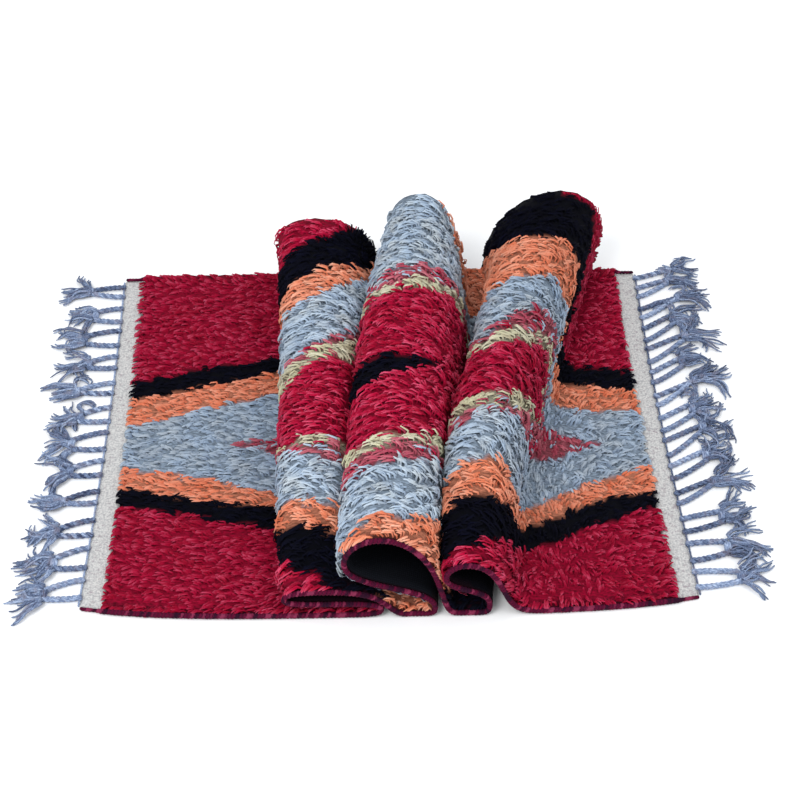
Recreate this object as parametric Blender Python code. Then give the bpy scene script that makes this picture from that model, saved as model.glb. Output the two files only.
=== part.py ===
"""Berber rug lying gathered in three folds that lean to the left, its fringe spread on the floor.

X runs along the rug, Y across it from the front edge to the back edge, and +Z is up.
The origin is on the floor, under the middle of everything that is built.
"""
import math
from typing import NamedTuple

import bmesh
import bpy
import numpy as np

# Driving dimensions, metres
RUG_WIDTH = 0.780
LYING_LENGTH = 0.886
HEADING_WIDTH = 0.034
HEADING_THICKNESS = 0.003
CLEARANCE = 0.0003
PILE_THICKNESS = 0.022
LUMP_HEIGHT = 0.0025
LUMP_PITCH = 0.047
LUMP_TURNS_ACROSS = 2.7
LUMP_SLANT = 1.4
SHARE_OF_ROOM = 0.88
FACING_COSINE = 0.45
BINDING_DIAMETER = 0.0092
FRONT_BOW = 0.022
END_BOW = 0.006
LEDGE_HEIGHT = 0.0100
LOCK_REACH = 0.011
LOCK_LIFT = 0.003
LOCK_ROOM = 0.018
MIDDLE_X = 0.0123
MIDDLE_Y = -0.0105

# Fringe sizes, metres
STRIP_WIDTH = 0.004
CORD_DIAMETER = 0.0078
KNOT_HEIGHT = 0.0105
CORD_TOP_SHARE = 0.36
LEFT_CORDS = 24
RIGHT_CORDS = 27
LEFT_REACH = 0.098
RIGHT_REACH = 0.125
LEFT_DRIFT = -0.020
RIGHT_DRIFT = 0.026
PAIR_SPREAD = 0.0072
ROOT_WANDER = 0.12
LENGTH_WANDER = 0.10
DRIFT_POWER = 1.3

# Grid sizes
ROWS = 14
FLAT_HANDLES = 5
ROOT_LEAD = 0.05
VALLEY_SHARES = (1 / 3, 2 / 3)
RIGHT_END_SHARES = (0.22, 0.60, 1.00)
FLAT_STEPS = 1
FOLD_STEPS = 3
BINDING_SIDES = 6


class Fold(NamedTuple):
    """Handles of one fold's curve, seen from the front: the underside turns up at root_x to turn_z, leans
    out past the flank to the tip, goes over the brow and crest, and comes down the wall to heel_x."""
    root_x: float
    turn_z: float
    flank_x: float
    flank_z: float
    tip_x: float
    tip_z: float
    brow_x: float
    brow_z: float
    crest_x: float
    crest_z: float
    wall_x: float
    wall_z: float
    heel_x: float


# Sections across the rug: how far back each one is, and its three folds from left to right
SECTIONS = (
    (0.00, (Fold(-0.006, 0.029, -0.070, 0.031, -0.152, 0.030, -0.146, 0.045, -0.090, 0.047, -0.024, 0.042, 0.004),
            Fold(0.069, 0.034, 0.024, 0.056, -0.074, 0.082, -0.052, 0.144, 0.010, 0.150, 0.060, 0.094, 0.074),
            Fold(0.146, 0.034, 0.125, 0.050, 0.072, 0.064, 0.092, 0.098, 0.138, 0.090, 0.166, 0.056, 0.174))),
    (0.25, (Fold(-0.028, 0.036, -0.085, 0.042, -0.154, 0.064, -0.144, 0.110, -0.090, 0.120, -0.026, 0.074, -0.002),
            Fold(0.082, 0.036, 0.034, 0.058, -0.054, 0.094, -0.040, 0.158, 0.026, 0.170, 0.086, 0.104, 0.093),
            Fold(0.164, 0.036, 0.140, 0.054, 0.088, 0.090, 0.108, 0.142, 0.152, 0.144, 0.184, 0.076, 0.182))),
    (0.60, (Fold(-0.066, 0.036, -0.104, 0.046, -0.154, 0.080, -0.142, 0.128, -0.084, 0.138, -0.020, 0.080, -0.004),
            Fold(0.100, 0.036, 0.060, 0.060, -0.030, 0.106, -0.018, 0.166, 0.054, 0.180, 0.114, 0.110, 0.119),
            Fold(0.202, 0.036, 0.182, 0.058, 0.152, 0.104, 0.170, 0.158, 0.222, 0.164, 0.262, 0.086, 0.262))),
    (1.00, (Fold(-0.044, 0.036, -0.092, 0.040, -0.168, 0.060, -0.158, 0.106, -0.096, 0.114, -0.024, 0.084, -0.022),
            Fold(0.080, 0.036, 0.060, 0.060, 0.024, 0.104, 0.038, 0.152, 0.084, 0.166, 0.118, 0.096, 0.130),
            Fold(0.196, 0.036, 0.196, 0.060, 0.216, 0.108, 0.256, 0.150, 0.326, 0.168, 0.382, 0.114, 0.346))),
)


class Station(NamedTuple):
    """One ring of a cord: its share of the cord's length, its width in cord diameters, and how far
    the cord is drawn to its mate there."""
    place: float
    width: float
    drawn: float


# A cord from its root, through the knot at the widest station, to its loose end
CORD_STATIONS = (
    Station(0.12, 0.90, 0.02),
    Station(0.34, 1.00, 0.45),
    Station(0.50, 1.00, 0.98),
    Station(0.56, 1.50, 1.00),
    Station(0.64, 1.00, 0.98),
    Station(0.82, 1.15, 0.65),
    Station(1.00, 0.50, 0.35),
)


class Finish(NamedTuple):
    """Colour, roughness and metallic value of one plain material."""
    colour: tuple
    roughness: float
    metallic: float


WOOL = Finish((0.376, 0.013, 0.053, 1.0), 0.95, 0.0)
LINEN = Finish((0.578, 0.565, 0.509, 1.0), 0.95, 0.0)
EDGING = Finish((0.072, 0.004, 0.038, 1.0), 0.90, 0.0)
TWISTED_YARN = Finish((0.246, 0.250, 0.330, 1.0), 0.95, 0.0)


def clear_scene():
    """Remove every object that the scene holds."""
    for old in list(bpy.data.objects):
        bpy.data.objects.remove(old, do_unlink=True)


def make_material(name, finish):
    """Principled material of one finish."""
    material = bpy.data.materials.new(name)
    material.use_nodes = True
    shader = material.node_tree.nodes["Principled BSDF"]
    shader.inputs["Base Color"].default_value = finish.colour
    shader.inputs["Roughness"].default_value = finish.roughness
    shader.inputs["Metallic"].default_value = finish.metallic
    return material


def add_object(name, points, faces, material):
    """Object of one closed body from its points and faces, shifted so that the origin is its middle."""
    mesh = bpy.data.meshes.new(name)
    shifted = [(x - MIDDLE_X, y - MIDDLE_Y, z) for x, y, z in points]
    mesh.from_pydata(shifted, [], faces)
    mesh.validate()
    body = bmesh.new()
    body.from_mesh(mesh)
    bmesh.ops.recalc_face_normals(body, faces=body.faces)
    bmesh.ops.triangulate(body, faces=body.faces)
    body.to_mesh(mesh)
    body.free()
    mesh.shade_smooth()
    mesh.materials.append(material)
    made = bpy.data.objects.new(name, mesh)
    bpy.context.scene.collection.objects.link(made)
    return made


def folds_at(share):
    """The three folds at a share of the way back: each handle follows a smooth curve through SECTIONS."""
    places = np.array([row[0] for row in SECTIONS])
    values = np.array([[list(fold) for fold in row[1]] for row in SECTIONS])
    slopes = np.gradient(values, places, axis=0)
    low = min(int(np.searchsorted(places, share, side="right")) - 1, len(places) - 2)
    span = places[low + 1] - places[low]
    t = (share - places[low]) / span
    rise = t * t * (3 - 2 * t)
    start_bend = t * (1 - t) ** 2 * span
    end_bend = -t * t * (1 - t) * span
    mixed = (1 - rise) * values[low] + rise * values[low + 1]
    mixed = mixed + start_bend * slopes[low] + end_bend * slopes[low + 1]
    return [Fold(*row) for row in mixed]


def end_x(share):
    """Half the lying length at a share of the way back; both ends bow in a little at the middle."""
    return LYING_LENGTH / 2 - END_BOW * (1 - (2 * share - 1) ** 2)


def handles_at(share):
    """Handles of the underside's curve in one section, and the steps in the span after each handle."""
    reach = end_x(share) - HEADING_WIDTH - CLEARANCE
    folds = folds_at(share)
    points = [(x, 0.0) for x in np.linspace(-reach, folds[0].root_x - ROOT_LEAD, FLAT_HANDLES)]
    steps = [FLAT_STEPS] * (FLAT_HANDLES - 1)
    for number, fold in enumerate(folds):
        curve = [(fold.root_x, 0.0), (fold.root_x, fold.turn_z), (fold.flank_x, fold.flank_z),
                 (fold.tip_x, fold.tip_z), (fold.brow_x, fold.brow_z), (fold.crest_x, fold.crest_z),
                 (fold.wall_x, fold.wall_z), (fold.heel_x, 0.0)]
        is_last = number + 1 == len(folds)
        following = reach if is_last else folds[number + 1].root_x
        shares = RIGHT_END_SHARES if is_last else VALLEY_SHARES
        points += curve + [(fold.heel_x + share_on * (following - fold.heel_x), 0.0) for share_on in shares]
        steps += [FOLD_STEPS] * (len(curve) + 1) + [FLAT_STEPS] * (len(shares) - 1)
    return np.array(points), steps


def spline_curve(handles, steps):
    """Uniform cubic B-spline of the handles: points and directions, with its own count of steps a span."""
    first = 2 * handles[0] - handles[1]
    last = 2 * handles[-1] - handles[-2]
    padded = np.vstack([first, handles, last])
    points = []
    directions = []
    for span, count in enumerate(steps):
        a, b, c, d = padded[span:span + 4]
        for step in range(count):
            t = step / count
            points.append(((1 - t) ** 3 * a + (3 * t ** 3 - 6 * t ** 2 + 4) * b
                           + (-3 * t ** 3 + 3 * t ** 2 + 3 * t + 1) * c + t ** 3 * d) / 6)
            directions.append((-(1 - t) ** 2 * a + (3 * t ** 2 - 4 * t) * b
                               + (-3 * t ** 2 + 2 * t + 1) * c + t ** 2 * d) / 2)
    points.append(handles[-1])
    directions.append(handles[-1] - handles[-2])
    directions = np.array(directions)
    return np.array(points), directions / np.linalg.norm(directions, axis=1, keepdims=True)


def pile_normals(directions):
    """Unit normals on the pile side: the direction of travel turned a quarter to the left."""
    return np.stack([-directions[:, 1], directions[:, 0]], axis=1)


def pile_depth(points, normals, share):
    """Depth of the pile in one section: lumpy in the open, and pressed where another layer faces it.

    The room at a point is the radius of the ball that rests on the cloth there, on the pile side, and
    touches the nearest stretch of cloth that faces it; the pile fills a share of that radius."""
    waves = np.sin(math.tau * (points[:, 0] / LUMP_PITCH + LUMP_SLANT * share))
    waves *= np.cos(math.tau * (LUMP_TURNS_ACROSS * share + points[:, 1] / LUMP_PITCH))
    depth = PILE_THICKNESS + LUMP_HEIGHT * waves
    offsets = points[None, :, :] - points[:, None, :]
    distances = np.linalg.norm(offsets, axis=2)
    facing = np.einsum("ijk,ik->ij", offsets, normals)
    apart = np.abs(np.subtract.outer(np.arange(len(points)), np.arange(len(points))))
    opposite = (facing > FACING_COSINE * distances) & (apart > 1)
    balls = np.full_like(distances, LYING_LENGTH)
    balls[opposite] = distances[opposite] ** 2 / (2 * facing[opposite])
    depth = np.minimum(depth, SHARE_OF_ROOM * balls.min(axis=1))
    lowest = np.min([np.roll(depth, shift) for shift in (-2, -1, 0, 1, 2)], axis=0)
    padded = np.pad(lowest, 1, mode="edge")
    return (padded[:-2] + 2 * padded[1:-1] + padded[2:]) / 4


def cloth_y(share, x):
    """Place across the rug: even steps from front to back, and the front edge bows out at its middle."""
    bow = FRONT_BOW * (1 - share) ** 2 * (1 - (2 * x / LYING_LENGTH) ** 4)
    return RUG_WIDTH * (share - 0.5) - bow


def section_at(share):
    """One section: points on the underside and pile-side normals, in 3-D, and the depth of the pile."""
    handles, steps = handles_at(share)
    points, directions = spline_curve(handles, steps)
    normals = pile_normals(directions)
    depth = pile_depth(points, normals, share)
    y = cloth_y(share, points[:, 0])
    under = np.column_stack([points[:, 0], y, points[:, 1]])
    upright = np.column_stack([normals[:, 0], np.zeros(len(points)), normals[:, 1]])
    return under, upright, depth


def outward(column, row, columns, rows):
    """Unit direction that points away from the rug at a place on its rim."""
    if row == 0 and 0 < column < columns - 1:
        return np.array([0.0, -1.0, 0.0])
    if row == rows - 1 and 0 < column < columns - 1:
        return np.array([0.0, 1.0, 0.0])
    return np.array([-1.0 if column == 0 else 1.0, 0.0, 0.0])


def build_body(sections, material):
    """The piled cloth as one lumpy slab, with a ledge above its bindings and pointed locks at its rim."""
    rows = len(sections)
    columns = len(sections[0][0])
    points = []
    for under, upright, depth in sections:
        points += list(under)
    for under, upright, depth in sections:
        points += list(under + upright * depth[:, None])
    top = rows * columns
    faces = []
    for row in range(rows - 1):
        for column in range(columns - 1):
            a = row * columns + column
            faces.append((a, a + columns, a + columns + 1, a + 1))
            faces.append((top + a, top + a + 1, top + a + columns + 1, top + a + columns))
    rim = [(column, 0) for column in range(columns - 1)]
    rim += [(columns - 1, row) for row in range(rows - 1)]
    rim += [(column, rows - 1) for column in range(columns - 1, 0, -1)]
    rim += [(0, row) for row in range(rows - 1, 0, -1)]
    ledge = len(points)
    for column, row in rim:
        under, upright, depth = sections[row]
        height = min(LEDGE_HEIGHT, 0.6 * depth[column])
        points.append(under[column] + upright[column] * height)
    for place, (column, row) in enumerate(rim):
        following = (place + 1) % len(rim)
        next_column, next_row = rim[following]
        low_a = row * columns + column
        low_b = next_row * columns + next_column
        faces.append((low_a, low_b, ledge + following, ledge + place))
        corners = (ledge + place, ledge + following, top + low_b, top + low_a)
        depth = min(sections[row][2][column], sections[next_row][2][next_column])
        if depth < LOCK_ROOM:
            faces.append(corners)
            continue
        middle = np.mean([points[index] for index in corners], axis=0)
        side_column = column if row != next_row else max(1, min(column, columns - 2))
        upright = sections[row][1][column]
        apex = middle + outward(side_column, row, columns, rows) * LOCK_REACH + upright * LOCK_LIFT
        points.append(apex)
        tip = len(points) - 1
        faces += [(corners[k], corners[(k + 1) % 4], tip) for k in range(4)]
    return add_object("rug_body", points, faces, material)


def build_heading(name, side, material):
    """Flat woven band at one end: a thin strip that follows the bowed end of the rug."""
    shares = np.linspace(0, 1, ROWS)
    points = []
    for share in shares:
        outer = end_x(share)
        inner = outer - HEADING_WIDTH
        inner_y = cloth_y(share, inner)
        outer_y = cloth_y(share, outer)
        points += [(side * inner, inner_y, 0.0), (side * inner, inner_y, HEADING_THICKNESS),
                   (side * outer, outer_y, HEADING_THICKNESS), (side * outer, outer_y, 0.0)]
    return add_object(name, points, tube_faces(len(shares), 4), material)


def tube_faces(rings, sides):
    """Faces of a closed tube of rings that have the same count of points."""
    faces = []
    for ring in range(rings - 1):
        for k in range(sides):
            a = ring * sides + k
            b = ring * sides + (k + 1) % sides
            faces.append((a, b, b + sides, a + sides))
    faces.append(tuple(range(sides)))
    faces.append(tuple(range((rings - 1) * sides, rings * sides)))
    return faces


def build_binding(name, section, side, material):
    """Round overcast edge: a tube that follows the folded edge of the cloth, level with its underside."""
    under, upright, depth = section
    radius = BINDING_DIAMETER / 2
    across = np.array([0.0, side, 0.0])
    centres = under + upright * radius + across * (radius + CLEARANCE)
    points = []
    for centre, up in zip(centres, upright):
        for k in range(BINDING_SIDES):
            angle = math.tau * (k + 0.5) / BINDING_SIDES
            points.append(centre + radius * (math.cos(angle) * across + math.sin(angle) * up))
    return add_object(name, points, tube_faces(len(centres), BINDING_SIDES), material)


def cord_path(number, count, reach, drift):
    """Root of one cord across the rug, and its rings: distance from the strip, place across, width, height.

    Neighbours are drawn together in pairs at a knot, then their loose ends spread again; all the cords
    of one end drift the same way across the rug."""
    pitch = RUG_WIDTH / count
    root = pitch * (number + 0.5 + ROOT_WANDER * math.sin(2.4 * number)) - RUG_WIDTH / 2
    mate = 1 if number % 2 == 0 else -1
    has_mate = number + mate < count
    pull = mate * (pitch / 2 - PAIR_SPREAD) if has_mate else 0.0
    length = reach * (1 - LENGTH_WANDER + LENGTH_WANDER * math.sin(1.7 * number + 0.6))
    rings = []
    for station in CORD_STATIONS:
        y = root + pull * station.drawn + drift * station.place ** DRIFT_POWER
        across = CORD_DIAMETER * station.width
        rings.append((length * station.place, y, across, min(across, KNOT_HEIGHT)))
    return root, rings


def build_fringe(name, side, count, reach, drift, material):
    """Knotted fringe of one end: a narrow strip beside the heading, and cords that stand out from it."""
    cords = [cord_path(number, count, reach, drift) for number in range(count)]
    breaks = [(-RUG_WIDTH / 2, None)]
    for number, (root, rings) in enumerate(cords):
        breaks += [(root - CORD_DIAMETER / 2, number), (root + CORD_DIAMETER / 2, None)]
    breaks.append((RUG_WIDTH / 2, None))
    points = []
    for y, number in breaks:
        inner = end_x(y / RUG_WIDTH + 0.5) + CLEARANCE
        outer = inner + STRIP_WIDTH
        points += [(side * inner, y, 0.0), (side * inner, y, HEADING_THICKNESS),
                   (side * outer, y, HEADING_THICKNESS), (side * outer, y, 0.0)]
    faces = [(0, 1, 2, 3), tuple(range(len(points) - 4, len(points)))]
    for place in range(len(breaks) - 1):
        a = 4 * place
        faces += [(a, a + 1, a + 5, a + 4), (a + 1, a + 2, a + 6, a + 5), (a + 3, a, a + 4, a + 7)]
        number = breaks[place][1]
        if number is None:
            faces.append((a + 2, a + 3, a + 7, a + 6))
            continue
        root, rings = cords[number]
        start_x = end_x(root / RUG_WIDTH + 0.5) + CLEARANCE + STRIP_WIDTH
        ring = (a + 3, a + 7, a + 6, a + 2)
        for away, y, across, height in rings:
            first = len(points)
            x = side * (start_x + away)
            points += [(x, y - across / 2, 0.0), (x, y + across / 2, 0.0),
                       (x, y + CORD_TOP_SHARE * across, height), (x, y - CORD_TOP_SHARE * across, height)]
            new_ring = tuple(range(first, first + 4))
            faces += [(ring[k], ring[(k + 1) % 4], new_ring[(k + 1) % 4], new_ring[k]) for k in range(4)]
            ring = new_ring
        faces.append(ring)
    return add_object(name, points, faces, material)


def main():
    """Build every piece of the rug."""
    clear_scene()
    wool = make_material("red_wool_pile", WOOL)
    linen = make_material("cream_flatweave", LINEN)
    edging = make_material("maroon_overcast", EDGING)
    yarn = make_material("grey_twisted_yarn", TWISTED_YARN)
    sections = [section_at(share) for share in np.linspace(0, 1, ROWS)]
    build_body(sections, wool)
    build_binding("binding_front", sections[0], -1.0, edging)
    build_binding("binding_back", sections[-1], 1.0, edging)
    build_heading("heading_left", -1.0, linen)
    build_heading("heading_right", 1.0, linen)
    build_fringe("fringe_left", -1.0, LEFT_CORDS, LEFT_REACH, LEFT_DRIFT, yarn)
    build_fringe("fringe_right", 1.0, RIGHT_CORDS, RIGHT_REACH, RIGHT_DRIFT, yarn)


main()
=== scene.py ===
"""Looks of the berber rug: woven ground, wool pile, overcast edges, woven headings and knotted fringe.

X runs along the rug, Y across it from the front edge to the back edge, and +Z is up, in metres.
A place on the cloth is given by two shares: how far along the cloth it lies, measured on the cloth from
the left heading to the right one, and how far back it lies from the front edge.
"""
from __future__ import annotations

import logging
import math
from dataclasses import dataclass
from enum import Enum, IntEnum

import bpy
import numpy as np
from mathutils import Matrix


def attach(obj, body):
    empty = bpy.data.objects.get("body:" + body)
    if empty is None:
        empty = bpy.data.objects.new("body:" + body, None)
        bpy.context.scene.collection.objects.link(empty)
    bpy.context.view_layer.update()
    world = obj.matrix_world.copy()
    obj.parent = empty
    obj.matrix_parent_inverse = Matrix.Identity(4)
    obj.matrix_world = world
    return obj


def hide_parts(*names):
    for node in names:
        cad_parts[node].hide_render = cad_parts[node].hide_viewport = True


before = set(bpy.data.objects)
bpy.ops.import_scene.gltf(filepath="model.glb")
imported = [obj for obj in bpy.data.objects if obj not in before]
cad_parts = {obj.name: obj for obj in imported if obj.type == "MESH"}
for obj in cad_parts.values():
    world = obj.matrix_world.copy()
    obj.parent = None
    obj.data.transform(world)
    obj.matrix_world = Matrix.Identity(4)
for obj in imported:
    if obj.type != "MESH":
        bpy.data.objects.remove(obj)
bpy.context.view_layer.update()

LOG = logging.getLogger("rug")
BODY = "root"
ATTRIBUTE_KINDS = {1: "FLOAT", 3: "FLOAT_VECTOR", 4: "FLOAT_COLOR"}
ATTRIBUTE_FIELDS = {1: "value", 3: "vector", 4: "color"}
ALONG = np.array([1.0, 0.0, 0.0])
ACROSS = np.array([0.0, 1.0, 0.0])
UP = np.array([0.0, 0.0, 1.0])
PLY_STARTS = (0.0, math.pi)
Colour = tuple[float, float, float, float]

# Handles of the three folds in four sections across the rug, as the solids have them but for the right
# fold's leg, which stands a few millimetres further left at the front edge. The columns are
# root x, turn z, flank x, flank z, tip x, tip z, brow x, brow z, crest x, crest z, wall x, wall z, heel x.
SECTION_SHARES = (0.00, 0.25, 0.60, 1.00)
FOLD_HANDLES = (
    ((-0.006, 0.029, -0.070, 0.031, -0.152, 0.030, -0.146, 0.045, -0.090, 0.047, -0.024, 0.042, 0.004),
     (0.069, 0.034, 0.024, 0.056, -0.074, 0.082, -0.052, 0.144, 0.010, 0.150, 0.060, 0.094, 0.074),
     (0.146, 0.034, 0.125, 0.050, 0.072, 0.064, 0.092, 0.098, 0.133, 0.090, 0.153, 0.052, 0.172)),
    ((-0.028, 0.036, -0.085, 0.042, -0.154, 0.064, -0.144, 0.110, -0.090, 0.120, -0.026, 0.074, -0.002),
     (0.082, 0.036, 0.034, 0.058, -0.054, 0.094, -0.040, 0.158, 0.026, 0.170, 0.086, 0.104, 0.093),
     (0.164, 0.036, 0.140, 0.054, 0.088, 0.090, 0.108, 0.142, 0.152, 0.144, 0.184, 0.076, 0.182)),
    ((-0.066, 0.036, -0.104, 0.046, -0.154, 0.080, -0.142, 0.128, -0.084, 0.138, -0.020, 0.080, -0.004),
     (0.100, 0.036, 0.060, 0.060, -0.030, 0.106, -0.018, 0.166, 0.054, 0.180, 0.114, 0.110, 0.119),
     (0.202, 0.036, 0.182, 0.058, 0.152, 0.104, 0.170, 0.158, 0.222, 0.164, 0.262, 0.086, 0.262)),
    ((-0.044, 0.036, -0.092, 0.040, -0.168, 0.060, -0.158, 0.106, -0.096, 0.114, -0.024, 0.084, -0.022),
     (0.080, 0.036, 0.060, 0.060, 0.024, 0.104, 0.038, 0.152, 0.084, 0.166, 0.118, 0.096, 0.130),
     (0.196, 0.036, 0.196, 0.060, 0.216, 0.108, 0.256, 0.150, 0.326, 0.168, 0.382, 0.114, 0.346)),
)


class Yarn(Enum):
    """The wools that the pile is knotted in."""

    RED = "red"
    BLACK = "black"
    ORANGE = "orange"
    GREY = "grey"
    PINK = "pink"
    STRAW = "straw"


# The nested bands from the long edges to the middle of the pattern
BAND_YARNS = (Yarn.RED, Yarn.BLACK, Yarn.ORANGE, Yarn.GREY, Yarn.PINK, Yarn.STRAW, Yarn.RED, Yarn.BLACK)
YARN_ORDER = tuple(Yarn)


def to_linear(red: int, green: int, blue: int) -> Colour:
    """Linear colour of a display colour: each channel over 255, raised by the display curve.

    Args:
        red: Red from 0 to 255.
        green: Green from 0 to 255.
        blue: Blue from 0 to 255.

    Returns:
        Linear red, green and blue, and an alpha of 1.
    """
    channels = np.array([red, green, blue]) / 255
    linear = np.where(channels <= 0.04045, channels / 12.92, ((channels + 0.055) / 1.055) ** 2.4)
    return (float(linear[0]), float(linear[1]), float(linear[2]), 1.0)


def unit(vectors: np.ndarray) -> np.ndarray:
    """Vectors along the last axis, each divided by its length."""
    return vectors / np.maximum(np.linalg.norm(vectors, axis=-1, keepdims=True), 1e-9)


def smooth_step(values: np.ndarray, low: float, high: float) -> np.ndarray:
    """0 below low and 1 above high, with 3t^2 - 2t^3 in between."""
    t = np.clip((values - low) / (high - low), 0, 1)
    return t * t * (3 - 2 * t)


def add_mesh(name: str, points: np.ndarray, quads: np.ndarray, triangles: np.ndarray | None = None,
             attributes: dict[str, np.ndarray] | None = None,
             normals: np.ndarray | None = None) -> bpy.types.Object:
    """Smooth-shaded object from whole arrays of points and faces.

    Args:
        name: The piece's name.
        points: Points in metres, in the row frame, one a line.
        quads: Point numbers of the four-sided faces, one face a line.
        triangles: Point numbers of the three-sided faces, one face a line.
        attributes: Values for each point, by name.
        normals: Shading direction of each point, where it isn't the surface's own.

    Returns:
        The object, linked to the scene.
    """
    triangles = np.zeros((0, 3), np.int64) if triangles is None else triangles
    corners = np.concatenate([quads.reshape(-1), triangles.reshape(-1)]).astype(np.int32)
    starts = np.concatenate([np.arange(len(quads)) * 4, len(quads) * 4 + np.arange(len(triangles)) * 3])
    mesh = bpy.data.meshes.new(name)
    mesh.vertices.add(len(points))
    mesh.vertices.foreach_set("co", points.astype(np.float32).reshape(-1))
    mesh.loops.add(len(corners))
    mesh.loops.foreach_set("vertex_index", corners)
    mesh.polygons.add(len(starts))
    mesh.polygons.foreach_set("loop_start", starts.astype(np.int32))
    mesh.update(calc_edges=True)
    mesh.validate()
    mesh.polygons.foreach_set("use_smooth", np.ones(len(mesh.polygons), bool))
    for title, values in (attributes or {}).items():
        width = 1 if values.ndim == 1 else values.shape[1]
        made = mesh.attributes.new(title, ATTRIBUTE_KINDS[width], "POINT")
        made.data.foreach_set(ATTRIBUTE_FIELDS[width], values.astype(np.float32).reshape(-1))
    if normals is not None:
        mesh.normals_split_custom_set_from_vertices(normals.astype(np.float32))
    piece = bpy.data.objects.new(name, mesh)
    bpy.context.scene.collection.objects.link(piece)
    return piece


@dataclass
class TubeArrays:
    """Points and faces of many tubes at once."""

    points: np.ndarray
    quads: np.ndarray
    triangles: np.ndarray
    around: np.ndarray
    along: np.ndarray
    tube: np.ndarray

    def on_floor(self) -> np.ndarray:
        """Points, with those below the floor raised to it."""
        points = self.points.copy()
        points[:, 2] = np.maximum(points[:, 2], 0.0)
        return points


def sweep_tubes(centres: np.ndarray, radii: np.ndarray | float, sides: int,
                reference: np.ndarray) -> TubeArrays:
    """Round tubes along many paths: each ring is centre + radius (side cos a + second sin a).

    Args:
        centres: Path points, by tube, ring and axis.
        radii: One radius, or one by tube, ring and side in any shape that spreads to that.
        sides: Points in a ring.
        reference: Direction that is never along a path; side is its cross product with the path.

    Returns:
        The closed tubes, with the angle and the ring's share of each point.
    """
    tubes, rings = centres.shape[:2]
    heading = unit(np.gradient(centres, axis=1))
    side = unit(np.cross(np.broadcast_to(reference, heading.shape), heading))
    second = np.cross(heading, side)
    angle = math.tau * np.arange(sides) / sides
    spoke = (side[:, :, None] * np.cos(angle)[None, None, :, None]
             + second[:, :, None] * np.sin(angle)[None, None, :, None])
    wide = np.broadcast_to(radii, (tubes, rings, sides))
    points = centres[:, :, None] + spoke * wide[..., None]
    number = np.arange(tubes * rings * sides).reshape(tubes, rings, sides)
    turned = np.roll(number, -1, axis=2)
    quads = np.stack([number[:, :-1], turned[:, :-1], turned[:, 1:], number[:, 1:]], axis=-1)
    fan = np.arange(1, sides - 1)
    first = number[:, 0]
    last = number[:, -1]
    start_caps = np.stack([first[:, [0]].repeat(len(fan), 1), first[:, fan + 1], first[:, fan]], axis=-1)
    end_caps = np.stack([last[:, [0]].repeat(len(fan), 1), last[:, fan], last[:, fan + 1]], axis=-1)
    triangles = np.concatenate([start_caps.reshape(-1, 3), end_caps.reshape(-1, 3)])
    around = np.broadcast_to(angle, number.shape).reshape(-1)
    along = np.broadcast_to(np.linspace(0, 1, rings)[None, :, None], number.shape).reshape(-1)
    tube = np.broadcast_to(np.arange(tubes)[:, None, None], number.shape).reshape(-1)
    return TubeArrays(points.reshape(-1, 3), quads.reshape(-1, 4), triangles, around, along, tube)


def join_tubes(parts: list[TubeArrays]) -> TubeArrays:
    """Several sets of tubes as one, with their point numbers moved on.

    Args:
        parts: The sets, in order.

    Returns:
        One set of all their tubes.
    """
    offsets = np.cumsum([0] + [len(part.points) for part in parts[:-1]])
    firsts = np.cumsum([0] + [int(part.tube.max()) + 1 for part in parts[:-1]])
    return TubeArrays(
        np.concatenate([part.points for part in parts]),
        np.concatenate([part.quads + offset for part, offset in zip(parts, offsets)]),
        np.concatenate([part.triangles + offset for part, offset in zip(parts, offsets)]),
        np.concatenate([part.around for part in parts]),
        np.concatenate([part.along for part in parts]),
        np.concatenate([part.tube + first for part, first in zip(parts, firsts)]))


def slab_faces(rows: int, columns: int) -> np.ndarray:
    """Faces of a closed slab whose upper grid of points comes first and whose lower grid follows.

    Args:
        rows: Lines of points in a grid.
        columns: Points in a line.

    Returns:
        Point numbers of the four-sided faces, one face a line.
    """
    upper = np.arange(rows * columns).reshape(rows, columns)
    lower = upper + rows * columns
    top = np.stack([upper[:-1, :-1], upper[:-1, 1:], upper[1:, 1:], upper[1:, :-1]], axis=-1)
    bottom = np.stack([lower[:-1, :-1], lower[1:, :-1], lower[1:, 1:], lower[:-1, 1:]], axis=-1)
    rim_up = np.concatenate([upper[0, :-1], upper[:-1, -1], upper[-1, :0:-1], upper[:0:-1, 0]])
    rim_down = rim_up + rows * columns
    wall = np.stack([rim_up, rim_down, np.roll(rim_down, -1), np.roll(rim_up, -1)], axis=-1)
    return np.concatenate([top.reshape(-1, 4), bottom.reshape(-1, 4), wall])


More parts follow.
